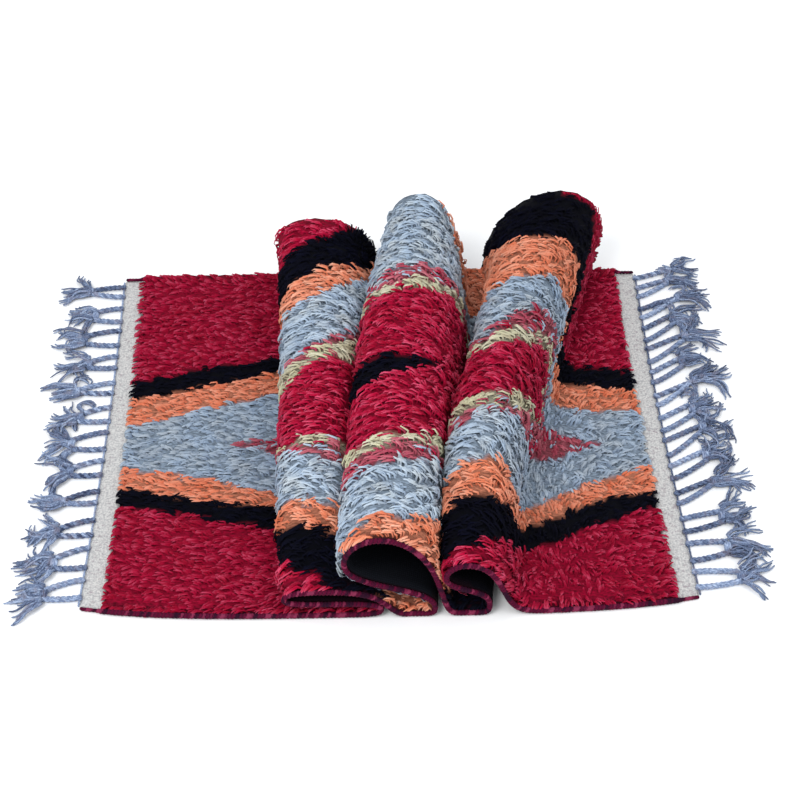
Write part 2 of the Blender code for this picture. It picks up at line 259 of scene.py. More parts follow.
class Shader:
    """Node tree of one Principled material, with short calls for the nodes that the finishes share."""

    gloss = 0.10
    sheen_roughness = 0.5

    def __init__(self, name: str, roughness: float) -> None:
        """Starts the material.

        Args:
            name: The material's name.
            roughness: Roughness that is the same all over.
        """
        self.material = bpy.data.materials.new(name)
        self.material.use_nodes = True
        self.tree = self.material.node_tree
        self.surface = self.tree.nodes["Principled BSDF"]
        self.surface.inputs["Roughness"].default_value = roughness
        self.surface.inputs["Specular IOR Level"].default_value = self.gloss

    def add(self, kind: str, settings: dict[str, object] | None = None,
            inputs: dict[str | int, object] | None = None) -> bpy.types.Node:
        """One node.

        Args:
            kind: Blender's name of the node type.
            settings: Properties of the node.
            inputs: A value or a socket for each named or numbered input.

        Returns:
            The node.
        """
        node = self.tree.nodes.new(kind)
        for title, value in (settings or {}).items():
            setattr(node, title, value)
        for title, value in (inputs or {}).items():
            if isinstance(value, bpy.types.NodeSocket):
                self.tree.links.new(value, node.inputs[title])
            else:
                node.inputs[title].default_value = value
        return node

    def attribute(self, name: str, output: str) -> bpy.types.NodeSocket:
        """Output of a named attribute of the mesh."""
        return self.add("ShaderNodeAttribute", {"attribute_name": name}).outputs[output]

    def noise(self, vector: bpy.types.NodeSocket, scale: float, detail: float = 3.0) -> bpy.types.NodeSocket:
        """Noise from about 0 to 1 that reads a vector."""
        made = self.add("ShaderNodeTexNoise", None, {"Vector": vector, "Scale": scale, "Detail": detail})
        return made.outputs["Fac"]

    def wave(self, vector: bpy.types.NodeSocket, direction: str, scale: float, distortion: float,
             detail: float, detail_scale: float = 1.0) -> bpy.types.NodeSocket:
        """Bands from 0 to 1 across one direction of a vector, a little bent."""
        made = self.add("ShaderNodeTexWave", {"bands_direction": direction},
                        {"Vector": vector, "Scale": scale, "Distortion": distortion, "Detail": detail,
                         "Detail Scale": detail_scale})
        return made.outputs["Fac"]

    def ramp(self, value: bpy.types.NodeSocket, low: float, high: float, start: float = 0.0,
             end: float = 1.0) -> bpy.types.NodeSocket:
        """Value from low to high brought to start to end, held at both."""
        made = self.add("ShaderNodeMapRange", None,
                        {"Value": value, "From Min": low, "From Max": high, "To Min": start, "To Max": end})
        return made.outputs["Result"]

    def mix(self, factor: bpy.types.NodeSocket | float, first: object, second: object,
            blend: str = "MIX") -> bpy.types.NodeSocket:
        """Colour between two colours, or one laid on the other by a blend."""
        made = self.add("ShaderNodeMix", {"data_type": "RGBA", "blend_type": blend},
                        {0: factor, 6: first, 7: second})
        return made.outputs[2]

    def math(self, operation: str, first: object, second: object) -> bpy.types.NodeSocket:
        """Result of one sum on two values."""
        return self.add("ShaderNodeMath", {"operation": operation}, {0: first, 1: second}).outputs[0]

    def place(self) -> bpy.types.NodeSocket:
        """Place on the piece, in metres."""
        return self.add("ShaderNodeTexCoord").outputs["Object"]

    def colour(self, socket: bpy.types.NodeSocket) -> None:
        """Sends a colour to the surface."""
        self.tree.links.new(socket, self.surface.inputs["Base Color"])

    def bump(self, height: bpy.types.NodeSocket, depth: float, strength: float = 1.0) -> None:
        """Sends a height, whose full span is depth metres, to the surface's normal."""
        made = self.add("ShaderNodeBump", None, {"Height": height, "Distance": depth, "Strength": strength})
        self.tree.links.new(made.outputs["Normal"], self.surface.inputs["Normal"])

    def sheen(self, weight: float, tint: Colour) -> None:
        """Sets the soft edge shine of wool on the surface's own sockets."""
        self.surface.inputs["Sheen Weight"].default_value = weight
        self.surface.inputs["Sheen Tint"].default_value = tint
        self.surface.inputs["Sheen Roughness"].default_value = self.sheen_roughness


@dataclass(frozen=True)
class PileFinish:
    """Matte wool of one yarn: a deep colour for its darkest tone and for painted shade, a middle colour, a
    light colour for painted highlights, and a second shade that drifts in.
    """

    yarn: Yarn
    deep_tone_and_painted_shade: Colour
    middle: Colour
    light: Colour
    drift: Colour
    drift_share: float
    sheen: float
    roughness: float = 0.92
    streak_scale: float = 1.6
    streak_depth: float = 0.0009
    patch_scale: float = 26.0

    def make(self) -> bpy.types.Material:
        """Material with painted shade at each strand's root and a painted highlight towards its tip, varying
        by strand, fibre and patch.

        Returns:
            The material.
        """
        shader = Shader(f"wool_{self.yarn.value}", self.roughness)
        tone = shader.attribute("strand_tone", "Fac")
        along = shader.attribute("strand_along", "Fac")
        fibre = shader.attribute("strand_fibre", "Vector")
        streak = shader.noise(fibre, self.streak_scale)
        own = shader.ramp(tone, 0, 1, -0.22, 0.30)
        # painted shade and highlight: darker at the root, lighter towards the tip
        lightness = shader.math("ADD", own, shader.ramp(along, 0.1, 0.95, 0.1, 0.62))
        lightness = shader.math("ADD", lightness, shader.ramp(streak, 0.3, 0.7, -0.26, 0.26))
        patch = shader.noise(shader.place(), self.patch_scale)
        middle = shader.mix(shader.ramp(patch, 0.42, 0.62, 0.0, self.drift_share), self.middle, self.drift)
        body = shader.mix(shader.ramp(lightness, 0.05, 0.5), self.deep_tone_and_painted_shade, middle)
        # painted highlight: the lightest strands and tips take the light colour
        body = shader.mix(shader.ramp(lightness, 0.5, 1.05), body, self.light)
        # painted shade: each strand's painted shade value dims it towards the deep colour
        shader.colour(shader.mix(shader.attribute("strand_painted_shade", "Fac"), self.deep_tone_and_painted_shade, body))
        shader.bump(streak, self.streak_depth, 0.8)
        shader.sheen(self.sheen, self.light)
        return shader.material


PILE_FINISHES = (
    PileFinish(Yarn.RED, to_linear(106, 0, 26), to_linear(178, 6, 54), to_linear(238, 104, 140),
               to_linear(162, 2, 36), 0.7, 0.14),
    PileFinish(Yarn.BLACK, to_linear(1, 1, 8), to_linear(3, 4, 18), to_linear(8, 10, 36),
               to_linear(3, 3, 12), 0.5, 0.0),
    PileFinish(Yarn.ORANGE, to_linear(190, 92, 64), to_linear(232, 147, 116), to_linear(250, 200, 176),
               to_linear(232, 124, 84), 0.7, 0.10),
    PileFinish(Yarn.GREY, to_linear(102, 118, 142), to_linear(170, 189, 210), to_linear(216, 228, 238),
               to_linear(178, 184, 186), 0.75, 0.12),
    PileFinish(Yarn.PINK, to_linear(122, 40, 56), to_linear(180, 92, 106), to_linear(214, 146, 154),
               to_linear(180, 62, 88), 0.7, 0.12),
    PileFinish(Yarn.STRAW, to_linear(150, 138, 112), to_linear(202, 198, 172), to_linear(230, 226, 208),
               to_linear(196, 196, 152), 0.6, 0.12),
)


@dataclass(frozen=True)
class GroundFinish:
    """Plain-woven ground: matted wool in the knots' colours on its face, and a weave on its back dimmed
    nearly to black; the mesh's colour carries painted shade on face and back.
    """

    roughness: float = 0.95
    depth: float = 0.0005
    thread: float = 0.0032
    wool_stretch: tuple[float, float, float] = (150.0, 360.0, 1.0)

    def make(self) -> bpy.types.Material:
        """Material that reads the knots' colour, with its painted shade, from the mesh, with wool on the
        face and threads behind.

        Returns:
            The material.
        """
        shader = Shader("ground_weave", self.roughness)
        place = shader.attribute("cloth_place", "Vector")
        face = shader.attribute("knot_face", "Fac")
        turns = math.tau / self.thread
        warp = shader.wave(place, "X", turns / 20, 0.6, 2.0)
        weft = shader.wave(place, "Y", turns / 24, 0.6, 2.0)
        weave = shader.math("MULTIPLY", warp, weft)
        stretched = shader.add("ShaderNodeVectorMath", {"operation": "MULTIPLY"},
                               {0: place, 1: self.wool_stretch}).outputs["Vector"]
        wool = shader.noise(stretched, 1.0, 4.0)
        threads = shader.ramp(weave, 0.1, 0.9, 0.40, 1.0)
        matted = shader.ramp(wool, 0.30, 0.70, 0.35, 1.35)
        strength = shader.mix(face, threads, matted)
        shader.colour(shader.mix(1.0, shader.attribute("knot_colour_and_painted_shade", "Color"), strength, "MULTIPLY"))
        shader.bump(shader.mix(face, weave, wool), self.depth)
        return shader.material


@dataclass(frozen=True)
class HeadingFinish:
    """Cream plain weave with grey and rose flecks."""

    cream: Colour = to_linear(206, 205, 202)
    shade: Colour = to_linear(158, 158, 160)
    fleck: Colour = to_linear(134, 120, 128)
    roughness: float = 0.93
    depth: float = 0.0004
    rib_scale: float = 118.0
    warp_scale: float = 104.0
    yarn_scale: float = 330.0
    fleck_scale: float = 190.0

    def make(self) -> bpy.types.Material:
        """Material of weft ribs along the band, crossed by the warp, with flecks of darker yarn.

        Returns:
            The material.
        """
        shader = Shader("heading_weave", self.roughness)
        place = shader.place()
        ribs = shader.wave(place, "X", self.rib_scale, 3.5, 3.0, 2.0)
        warp = shader.wave(place, "Y", self.warp_scale, 3.0, 3.0, 2.0)
        weave = shader.math("MULTIPLY", ribs, warp)
        yarns = shader.noise(place, self.yarn_scale)
        flecks = shader.noise(place, self.fleck_scale, 4.0)
        base = shader.mix(shader.ramp(yarns, 0.34, 0.60), self.shade, self.cream)
        base = shader.mix(shader.ramp(weave, 0.0, 0.5, 0.30, 0.0), base, self.shade)
        shader.colour(shader.mix(shader.ramp(flecks, 0.56, 0.70, 0.0, 0.70), base, self.fleck))
        shader.bump(shader.math("ADD", shader.ramp(weave, 0.0, 1.0, 0.0, 0.5), yarns), self.depth)
        shader.sheen(0.15, self.cream)
        return shader.material


@dataclass(frozen=True)
class EdgingFinish:
    """Maroon overcast yarn with navy painted shade between its turns and on some turns, and painted
    highlights.
    """

    maroon: Colour = to_linear(84, 4, 40)
    navy_painted_shade: Colour = to_linear(14, 9, 28)
    # painted highlight colour of the wraps
    light: Colour = to_linear(136, 50, 80)
    roughness: float = 0.88
    streak_scale: float = 2.0
    depth: float = 0.0010

    def make(self) -> bpy.types.Material:
        """Material that goes from maroon on a turn to navy painted shadow between turns; some turns carry a
        painted highlight in the light colour, and some are darkened to navy.

        Returns:
            The material.
        """
        shader = Shader("overcast_wool", self.roughness)
        ridge = shader.attribute("wrap_ridge", "Fac")
        turn = shader.attribute("wrap_turn", "Fac")
        fibre = shader.attribute("strand_fibre", "Vector")
        streak = shader.noise(fibre, self.streak_scale)
        # painted shadow: navy in the hollows between turns
        body = shader.mix(shader.ramp(ridge, 0.1, 0.8), self.navy_painted_shade, self.maroon)
        # painted highlights: light streaks along the fibres and on some whole turns
        body = shader.mix(shader.ramp(streak, 0.55, 0.8, 0.0, 0.5), body, self.light)
        body = shader.mix(shader.ramp(turn, 0.10, 0.24, 0.75, 0.0), body, self.light)
        shader.colour(shader.mix(shader.ramp(turn, 0.66, 0.80, 0.0, 0.75), body, self.navy_painted_shade))
        shader.bump(shader.math("ADD", streak, ridge), self.depth, 0.9)
        shader.sheen(0.15, self.light)
        return shader.material


@dataclass(frozen=True)
class FringeFinish:
    """Grey-lavender two-ply yarn with painted blue shade and painted highlights in streaks along its fibres.
    """

    deep_tone_and_painted_shade: Colour = to_linear(38, 44, 70)
    middle: Colour = to_linear(114, 130, 162)
    light: Colour = to_linear(186, 202, 228)
    warm: Colour = to_linear(134, 126, 138)
    roughness: float = 0.90
    streak_scale: float = 2.2
    patch_scale: float = 90.0
    depth: float = 0.0005

    def make(self) -> bpy.types.Material:
        """Material that streaks along the fibres and varies from yarn to yarn.

        Returns:
            The material.
        """
        shader = Shader("twisted_yarn", self.roughness)
        tone = shader.attribute("strand_tone", "Fac")
        fibre = shader.attribute("strand_fibre", "Vector")
        streak = shader.noise(fibre, self.streak_scale)
        patch = shader.noise(shader.place(), self.patch_scale, 2.0)
        own = shader.ramp(tone, 0, 1, -0.3, 0.3)
        lightness = shader.math("ADD", shader.ramp(streak, 0.25, 0.75), own)
        # painted shade and highlight: dark and light streaks by fibre noise and each yarn's tone
        body = shader.mix(shader.ramp(lightness, 0.0, 0.55), self.deep_tone_and_painted_shade, self.middle)
        body = shader.mix(shader.ramp(lightness, 0.6, 1.1), body, self.light)
        shader.colour(shader.mix(shader.ramp(patch, 0.5, 0.66, 0.0, 0.45), body, self.warm))
        shader.bump(streak, self.depth, 0.7)
        shader.sheen(0.2, self.light)
        return shader.material


@dataclass(frozen=True)
class FloorFinish:
    """Plain pale studio floor."""

    shade: Colour = (0.95, 0.955, 0.96, 1.0)
    cloud: Colour = (0.97, 0.97, 0.97, 1.0)
    roughness: float = 0.95
    cloud_scale: float = 1.5

    def make(self) -> bpy.types.Material:
        """Material of faint broad unevenness, so that the floor isn't one flat colour.

        Returns:
            The material.
        """
        shader = Shader("pale_floor", self.roughness)
        cloud = shader.noise(shader.place(), self.cloud_scale, 2.0)
        shader.colour(shader.mix(shader.ramp(cloud, 0.3, 0.7, 0.0, 0.5), self.shade, self.cloud))
        return shader.material


@dataclass(frozen=True)
class Profile:
    """A value that changes in straight lines between given places."""

    places: tuple[float, ...]
    values: tuple[float, ...]

    def at(self, place: np.ndarray, beyond: float | None = None) -> np.ndarray:
        """The value at given places.

        Args:
            place: Shares along or across the cloth, or along a yarn.
            beyond: Value past both ends, or None where the end values go on.

        Returns:
            One value for each place.
        """
        return np.interp(place, self.places, self.values, left=beyond, right=beyond)


# Edges of the nested bands behind the middle line, from the outermost band inwards: each profile gives
# the share across the cloth at shares along it
BACK_EDGES = (
    Profile((0.00, 0.055, 0.13, 0.29, 0.34, 0.375, 0.42, 0.82, 0.855, 0.89, 0.905, 0.915, 0.955, 1.00),
            (0.635, 0.677, 0.71, 0.877, 0.943, 1.00, 1.10, 1.10, 1.00, 0.99, 0.90, 0.69, 0.665, 0.645)),
    Profile((0.00, 0.055, 0.13, 0.28, 0.311, 0.37, 0.42, 0.45, 0.71, 0.79, 0.808, 0.828, 0.888, 0.91,
             0.955, 1.00),
            (0.577, 0.615, 0.66, 0.765, 0.80, 0.88, 1.00, 1.06, 1.06, 0.90, 0.865, 0.85, 0.845, 0.62, 0.60,
             0.585)),
    Profile((0.00, 0.055, 0.13, 0.27, 0.291, 0.333, 0.355, 0.42, 0.46, 0.60, 0.625, 0.695, 0.72, 0.80,
             0.86, 0.89, 0.91, 0.945, 1.00),
            (0.50, 0.543, 0.592, 0.67, 0.70, 0.785, 0.82, 0.93, 1.02, 1.02, 0.99, 0.835, 0.83, 0.68, 0.73,
             0.735, 0.56, 0.525, 0.512)),
    Profile((0.08, 0.20, 0.271, 0.325, 0.42, 0.561, 0.605, 0.628, 0.70, 0.76, 0.813, 0.835, 0.853, 0.888,
             0.90, 0.965),
            (0.447, 0.47, 0.51, 0.637, 0.69, 0.722, 0.75, 0.77, 0.745, 0.63, 0.53, 0.60, 0.645, 0.655,
             0.48, 0.42)),
    Profile((0.17, 0.275, 0.314, 0.42, 0.563, 0.60, 0.63, 0.66, 0.76, 0.813, 0.838, 0.868, 0.885, 0.895),
            (0.455, 0.50, 0.594, 0.64, 0.67, 0.705, 0.745, 0.72, 0.58, 0.51, 0.56, 0.60, 0.58, 0.45)),
    Profile((0.19, 0.274, 0.299, 0.42, 0.561, 0.583, 0.611, 0.63, 0.70, 0.812, 0.838, 0.86, 0.88, 0.892),
            (0.45, 0.45, 0.514, 0.60, 0.648, 0.662, 0.69, 0.71, 0.64, 0.485, 0.525, 0.565, 0.56, 0.45)),
    Profile((0.40, 0.50, 0.546, 0.577, 0.60, 0.617),
            (0.415, 0.47, 0.455, 0.445, 0.46, 0.48)),
)
# The same edges in front of the middle line
FRONT_EDGES = (
    Profile((0.00, 0.055, 0.092, 0.125, 0.28, 0.305, 0.318, 0.34, 0.37, 0.70, 0.76, 0.807, 0.828, 0.867,
             0.908, 0.942, 1.00),
            (0.263, 0.243, 0.215, 0.206, 0.095, 0.06, 0.03, 0.02, -0.06, -0.06, 0.00, 0.031, 0.068, 0.119,
             0.147, 0.19, 0.236)),
    Profile((0.00, 0.055, 0.122, 0.28, 0.296, 0.34, 0.40, 0.44, 0.63, 0.66, 0.70, 0.782, 0.80, 0.82, 0.85,
             0.898, 0.969, 1.00),
            (0.314, 0.288, 0.264, 0.13, 0.123, 0.10, 0.00, -0.06, -0.04, 0.00, 0.05, 0.115, 0.125, 0.14,
             0.145, 0.20, 0.273, 0.28)),
    Profile((0.00, 0.07, 0.124, 0.28, 0.336, 0.40, 0.44, 0.47, 0.54, 0.578, 0.60, 0.629, 0.791, 0.822,
             0.86, 0.94, 1.00),
            (0.369, 0.341, 0.30, 0.165, 0.153, 0.10, 0.08, -0.02, -0.02, 0.04, 0.05, 0.09, 0.19, 0.224,
             0.20, 0.298, 0.351)),
    Profile((0.08, 0.20, 0.293, 0.31, 0.42, 0.554, 0.584, 0.617, 0.70, 0.80, 0.837, 0.885, 0.929, 0.965),
            (0.447, 0.36, 0.261, 0.248, 0.19, 0.147, 0.178, 0.222, 0.27, 0.298, 0.351, 0.36, 0.385, 0.42)),
    Profile((0.17, 0.22, 0.292, 0.327, 0.42, 0.555, 0.60, 0.66, 0.807, 0.825, 0.856, 0.895),
            (0.455, 0.36, 0.276, 0.28, 0.215, 0.194, 0.234, 0.28, 0.321, 0.35, 0.39, 0.45)),
    Profile((0.19, 0.24, 0.288, 0.317, 0.42, 0.552, 0.592, 0.621, 0.70, 0.806, 0.82, 0.848, 0.892),
            (0.45, 0.35, 0.29, 0.298, 0.25, 0.222, 0.249, 0.30, 0.33, 0.351, 0.374, 0.412, 0.45)),
    Profile((0.40, 0.50, 0.546, 0.572, 0.585, 0.60, 0.617),
            (0.415, 0.36, 0.372, 0.40, 0.42, 0.448, 0.48)),
)


# Far enough across to leave a band out where its edges end
NEVER = 9.0


def band_at(place: np.ndarray, height: np.ndarray) -> np.ndarray:
    """Number of the nested band at places on the cloth: how many bands' edges enclose the place.

    Args:
        place: Shares along the cloth.
        height: Shares across the cloth.

    Returns:
        Numbers into BAND_YARNS.
    """
    number = np.zeros(place.shape, int)
    for back, front in zip(BACK_EDGES, FRONT_EDGES):
        number += (height < back.at(place, -NEVER)) & (height > front.at(place, NEVER))
    return number


@dataclass
class ClothPlaces:
    """Places on the lying cloth: points on its underside, directions there and room for the pile."""

    points: np.ndarray
    travel: np.ndarray
    upright: np.ndarray
    room: np.ndarray


@dataclass
class RugForm:
    """The shape in which the cloth lies: section curves in X and Z, carried across the rug in Y."""

    width: float = 0.780
    lying_length: float = 0.886
    heading_width: float = 0.034
    clearance: float = 0.0003
    front_bow: float = 0.022
    end_bow: float = 0.006
    middle_x: float = 0.0123
    middle_y: float = -0.0105
    root_lead: float = 0.05
    flat_handles: int = 5
    gap_shares: tuple[float, ...] = (1 / 3, 2 / 3)
    last_shares: tuple[float, ...] = (0.22, 0.60, 1.00)
    span_steps: int = 7
    rows: int = 61
    columns: int = 501
    facing_cosine: float = 0.45
    neighbours: int = 3
    room_stride: int = 2
    widest_room: float = 0.12

    def __post_init__(self) -> None:
        """Works out the grid of places that every piece of the cloth reads."""
        shares = np.linspace(0, 1, self.rows)
        curve = self.spline(self.handles(shares))
        steps = np.linalg.norm(np.diff(curve, axis=1), axis=2)
        arc = np.concatenate([np.zeros((self.rows, 1)), np.cumsum(steps, axis=1)], axis=1)
        self.lengths = arc[:, -1]
        self.mean_length = float(self.lengths.mean())
        even = np.linspace(0, 1, self.columns)
        self.grid = np.zeros((self.rows, self.columns, 2))
        for row in range(self.rows):
            share = arc[row] / arc[row, -1]
            self.grid[row, :, 0] = np.interp(even, share, curve[row, :, 0])
            self.grid[row, :, 1] = np.interp(even, share, curve[row, :, 1])
        self.travel = unit(np.gradient(self.grid, axis=1))
        self.room = self.find_room()

    def end_x(self, share: np.ndarray) -> np.ndarray:
        """Half the lying length: both ends bow in a little at the middle of the width."""
        return self.lying_length / 2 - self.end_bow * (1 - (2 * share - 1) ** 2)

    def cloth_y(self, share: np.ndarray, x: np.ndarray) -> np.ndarray:
        """Place across the rug: even steps, and the front edge bows out at its middle by a fourth power."""
        bow = self.front_bow * (1 - share) ** 2 * (1 - (2 * x / self.lying_length) ** 4)
        return self.width * (share - 0.5) - bow

    def handles(self, shares: np.ndarray) -> np.ndarray:
        """Handles of the underside in each section: cubic Hermite curves through the four given sections.

        Args:
            shares: How far back each section lies.

        Returns:
            X and Z by section and handle.
        """
        places = np.array(SECTION_SHARES)
        values = np.array(FOLD_HANDLES)
        slopes = np.gradient(values, places, axis=0)
        low = np.clip(np.searchsorted(places, shares, side="right") - 1, 0, len(places) - 2)
        span = (places[low + 1] - places[low])[:, None, None]
        t = (shares - places[low])[:, None, None] / span
        rise = t * t * (3 - 2 * t)
        mixed = ((1 - rise) * values[low] + rise * values[low + 1]
                 + t * (1 - t) ** 2 * span * slopes[low] - t * t * (1 - t) * span * slopes[low + 1])
        reach = self.end_x(shares) - self.heading_width - self.clearance
        floor = np.zeros_like(shares)
        flat = np.linspace(-reach, mixed[:, 0, 0] - self.root_lead, self.flat_handles)
        handles = [np.stack([x, floor], axis=1) for x in flat]
        for number in range(3):
            fold = mixed[:, number]
            handles += [np.stack([fold[:, 0], floor], axis=1), fold[:, 0:2]]
            handles += [fold[:, column:column + 2] for column in (2, 4, 6, 8, 10)]
            handles.append(np.stack([fold[:, 12], floor], axis=1))
            last = number == 2
            ahead = reach if last else mixed[:, number + 1, 0]
            for share in self.last_shares if last else self.gap_shares:
                handles.append(np.stack([fold[:, 12] + share * (ahead - fold[:, 12]), floor], axis=1))
        return np.stack(handles, axis=1)

    def spline(self, handles: np.ndarray) -> np.ndarray:
        """Uniform cubic B-spline of the handles, with its ends held by mirrored handles.

        Args:
            handles: X and Z by section and handle.

        Returns:
            X and Z by section and step.
        """
        first = 2 * handles[:, :1] - handles[:, 1:2]
        last = 2 * handles[:, -1:] - handles[:, -2:-1]
        padded = np.concatenate([first, handles, last], axis=1)
        t = (np.arange(self.span_steps) / self.span_steps)[None, None, :, None]
        a, b, c, d = (padded[:, k:k + handles.shape[1] - 1, None] for k in range(4))
        curve = ((1 - t) ** 3 * a + (3 * t ** 3 - 6 * t ** 2 + 4) * b
                 + (-3 * t ** 3 + 3 * t ** 2 + 3 * t + 1) * c + t ** 3 * d) / 6
        return np.concatenate([curve.reshape(len(handles), -1, 2), handles[:, -1:]], axis=1)

    def find_room(self) -> np.ndarray:
        """Room for the pile: the radius of the ball that rests on the cloth and touches what faces it.

        It is worked out at one column in each stride and read between those.

        Returns:
            Radius by row and column, at most the widest room.
        """
        grid = self.grid[:, ::self.room_stride]
        travel = self.travel[:, ::self.room_stride]
        upright = np.stack([-travel[..., 1], travel[..., 0]], axis=-1)
        columns = np.arange(grid.shape[1])
        apart = np.abs(np.subtract.outer(columns, columns)) > self.neighbours
        room = np.zeros(grid.shape[:2])
        for row in range(self.rows):
            offsets = grid[row][None] - grid[row][:, None]
            distances = np.linalg.norm(offsets, axis=2)
            facing = np.einsum("ijk,ik->ij", offsets, upright[row])
            opposite = (facing > self.facing_cosine * distances) & apart
            balls = np.where(opposite, distances ** 2 / np.maximum(2 * facing, 1e-6), self.widest_room)
            room[row] = np.minimum(balls.min(axis=1), self.widest_room)
        fine = np.linspace(0, 1, self.columns)
        coarse = np.linspace(0, 1, grid.shape[1])
        return np.stack([np.interp(fine, coarse, line) for line in room])

    def at(self, place: np.ndarray, height: np.ndarray) -> ClothPlaces:
        """Places on the cloth, read between the points of the grid.

        Args:
            place: Shares along the cloth.
            height: Shares across the cloth.

        Returns:
            Points, directions and room there, in the row frame.
        """
        column = np.clip(place, 0, 1) * (self.columns - 1)
        row = np.clip(height, 0, 1) * (self.rows - 1)
        c = np.clip(column.astype(int), 0, self.columns - 2)
        r = np.clip(row.astype(int), 0, self.rows - 2)
        s = (column - c)[..., None]
        t = (row - r)[..., None]

        def read(table: np.ndarray) -> np.ndarray:
            """Value between the four points of the grid around each place."""
            return ((1 - s) * (1 - t) * table[r, c] + s * (1 - t) * table[r, c + 1]
                    + (1 - s) * t * table[r + 1, c] + s * t * table[r + 1, c + 1])

        flat = read(self.grid)
        travel = unit(read(self.travel))
        y = self.cloth_y(np.clip(height, 0, 1), flat[..., 0])
        points = np.stack([flat[..., 0] - self.middle_x, y - self.middle_y, flat[..., 1]], axis=-1)
        zero = np.zeros(place.shape)
        along = np.stack([travel[..., 0], zero, travel[..., 1]], axis=-1)
        upright = np.stack([-travel[..., 1], zero, travel[..., 0]], axis=-1)
        return ClothPlaces(points, along, upright, read(self.room[..., None])[..., 0])


# Height of the pile: low where the cloth lies flat at its ends, full where it is folded
FULL_HEIGHT = 0.0185
PILE_HEIGHT = Profile((0.0, 0.10, 0.22, 0.86, 0.92, 1.0),
                      (0.0125, 0.0135, FULL_HEIGHT, FULL_HEIGHT, 0.0150, 0.0140))
# Way that the pile lies along the cloth: -1 towards the left heading, 1 towards the right one
PILE_LIE = Profile((0.0, 0.60, 0.66, 0.86, 0.90, 0.945, 1.0), (-1.0, -1.0, -0.9, -0.95, -0.4, 0.7, 1.0))
# How curly the tufts are, from combed on the left to shaggy over the folds and on the right
PILE_CURL = Profile((0.0, 0.14, 0.28, 0.54, 0.80, 0.87, 1.0), (0.55, 0.55, 0.62, 0.85, 0.85, 1.0, 0.80))
# Painted shade: how much of its own colour a strand shows, dimmed towards its deep colour at the flat ends
# and full over the folds, which catch more light
PILE_PAINTED_SHADE = Profile((0.0, 0.20, 0.28, 0.80, 0.88, 1.0), (0.62, 0.62, 1.0, 1.0, 0.66, 0.66))
# How far the pile lies over the right heading, by share across the cloth
RIGHT_OVERLAP = Profile((0.0, 0.4, 0.7, 1.0), (0.006, 0.009, 0.003, 0.001))


@dataclass
class Ground:
    """Woven ground with the matted feet of its knots: one sheet, with the knots' colours on its face, dimmed
    by painted shade, and a back painted nearly black as shade.

    Heights, widths and overhangs are in metres. A pair that ends in from holds the low and high end of a
    soft step.
    """

    form: RugForm
    rows: int = 58
    columns: int = 214
    weave_thickness: float = 0.0026
    mat_share: float = 0.46
    room_share: float = 0.5
    least_stand: float = 0.0012
    lump_height: float = 0.0012
    lump_pitch: float = 0.013
    lump_waves: tuple[float, float] = (31.0, 27.0)
    back_rise: float = 0.60
    rise_from: tuple[float, float] = (0.93, 1.0)
    full_from: tuple[float, float] = (0.0135, FULL_HEIGHT)
    back_overhang: float = 0.007
    overhang_from: tuple[float, float] = (0.970, 1.0)
    rim_from: tuple[float, float] = (-0.004, 0.012)
    back_margin: float = 0.010
    face_painted_shade: float = 0.46
    front_rim_painted_shade: tuple[float, float, float] = (0.020, 0.002, 0.008)
    back_painted_shade: float = 0.014
    back_painted_shade_tint: tuple[float, float, float] = (0.001, 0.001, 0.004)

    def build(self) -> bpy.types.Object:
        """Slab whose face stands off the underside by a share of the pile's height, with small lumps.

        The face's height is the weave's thickness + share x pile height + lump sin(au) sin(bv), and never
        more than half the room there. The share grows towards the folds' back ends.

        Returns:
            The piece.
        """
        form = self.form
        place, height = np.meshgrid(np.linspace(0, 1, self.columns), np.linspace(0, 1, self.rows))
        cloth = form.at(place, height)
        u = place * form.mean_length
        v = height * form.width
        turns = math.tau / self.lump_pitch
        lumps = self.lump_height * np.sin(u * turns + 2 * np.sin(v * self.lump_waves[0]))
        lumps = lumps * np.sin(v * turns + 2 * np.sin(u * self.lump_waves[1]))
        full = smooth_step(PILE_HEIGHT.at(place), *self.full_from)
        rise = 1 + self.back_rise * smooth_step(height, *self.rise_from) * full
        stand = self.weave_thickness + self.mat_share * rise * PILE_HEIGHT.at(place) + lumps
        rim_along = np.minimum(u, form.mean_length - u)
        rim = np.minimum(rim_along, np.minimum(v, form.width - v + self.back_margin))
        eased = smooth_step(rim, *self.rim_from)
        stand = self.weave_thickness + (stand - self.weave_thickness) * eased
        stand = np.minimum(stand, np.maximum(self.room_share * cloth.room, self.least_stand))
        upper = cloth.points + cloth.upright * stand[..., None]
        upper[..., 1] += self.back_overhang * smooth_step(height, *self.overhang_from)
        points = np.concatenate([upper.reshape(-1, 3), cloth.points.reshape(-1, 3)])
        shades = {finish.yarn: finish.middle for finish in PILE_FINISHES}
        colours = np.array([shades[yarn] for yarn in BAND_YARNS])[band_at(place, height)].reshape(-1, 4)
        # painted shade: the mat's face, deep in the pile, is dimmed from the yarns' middle colours
        face = colours.copy()
        face[:, :3] *= self.face_painted_shade
        # painted shade: the face's front row, under the edging, is nearly black
        first_row = height.reshape(-1) < 0.5 / self.rows
        face[first_row, :3] = self.front_rim_painted_shade
        # painted shade: the back, seen only inside the folds, is dimmed nearly to black with a navy tint
        back = colours.copy()
        back[:, :3] = back[:, :3] * self.back_painted_shade + np.array(self.back_painted_shade_tint)
        metres = np.stack([u, v, np.zeros(place.shape)], -1)
        piece = add_mesh("woven_ground", points, slab_faces(self.rows, self.columns), None, {
            "knot_colour_and_painted_shade": np.concatenate([face, back]),
            "knot_face": np.repeat([1.0, 0.0], len(face)),
            "cloth_place": np.tile(metres.reshape(-1, 3), (2, 1))})
        piece.data.materials.append(GroundFinish().make())
        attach(piece, BODY)
        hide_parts("rug_body")
        return piece


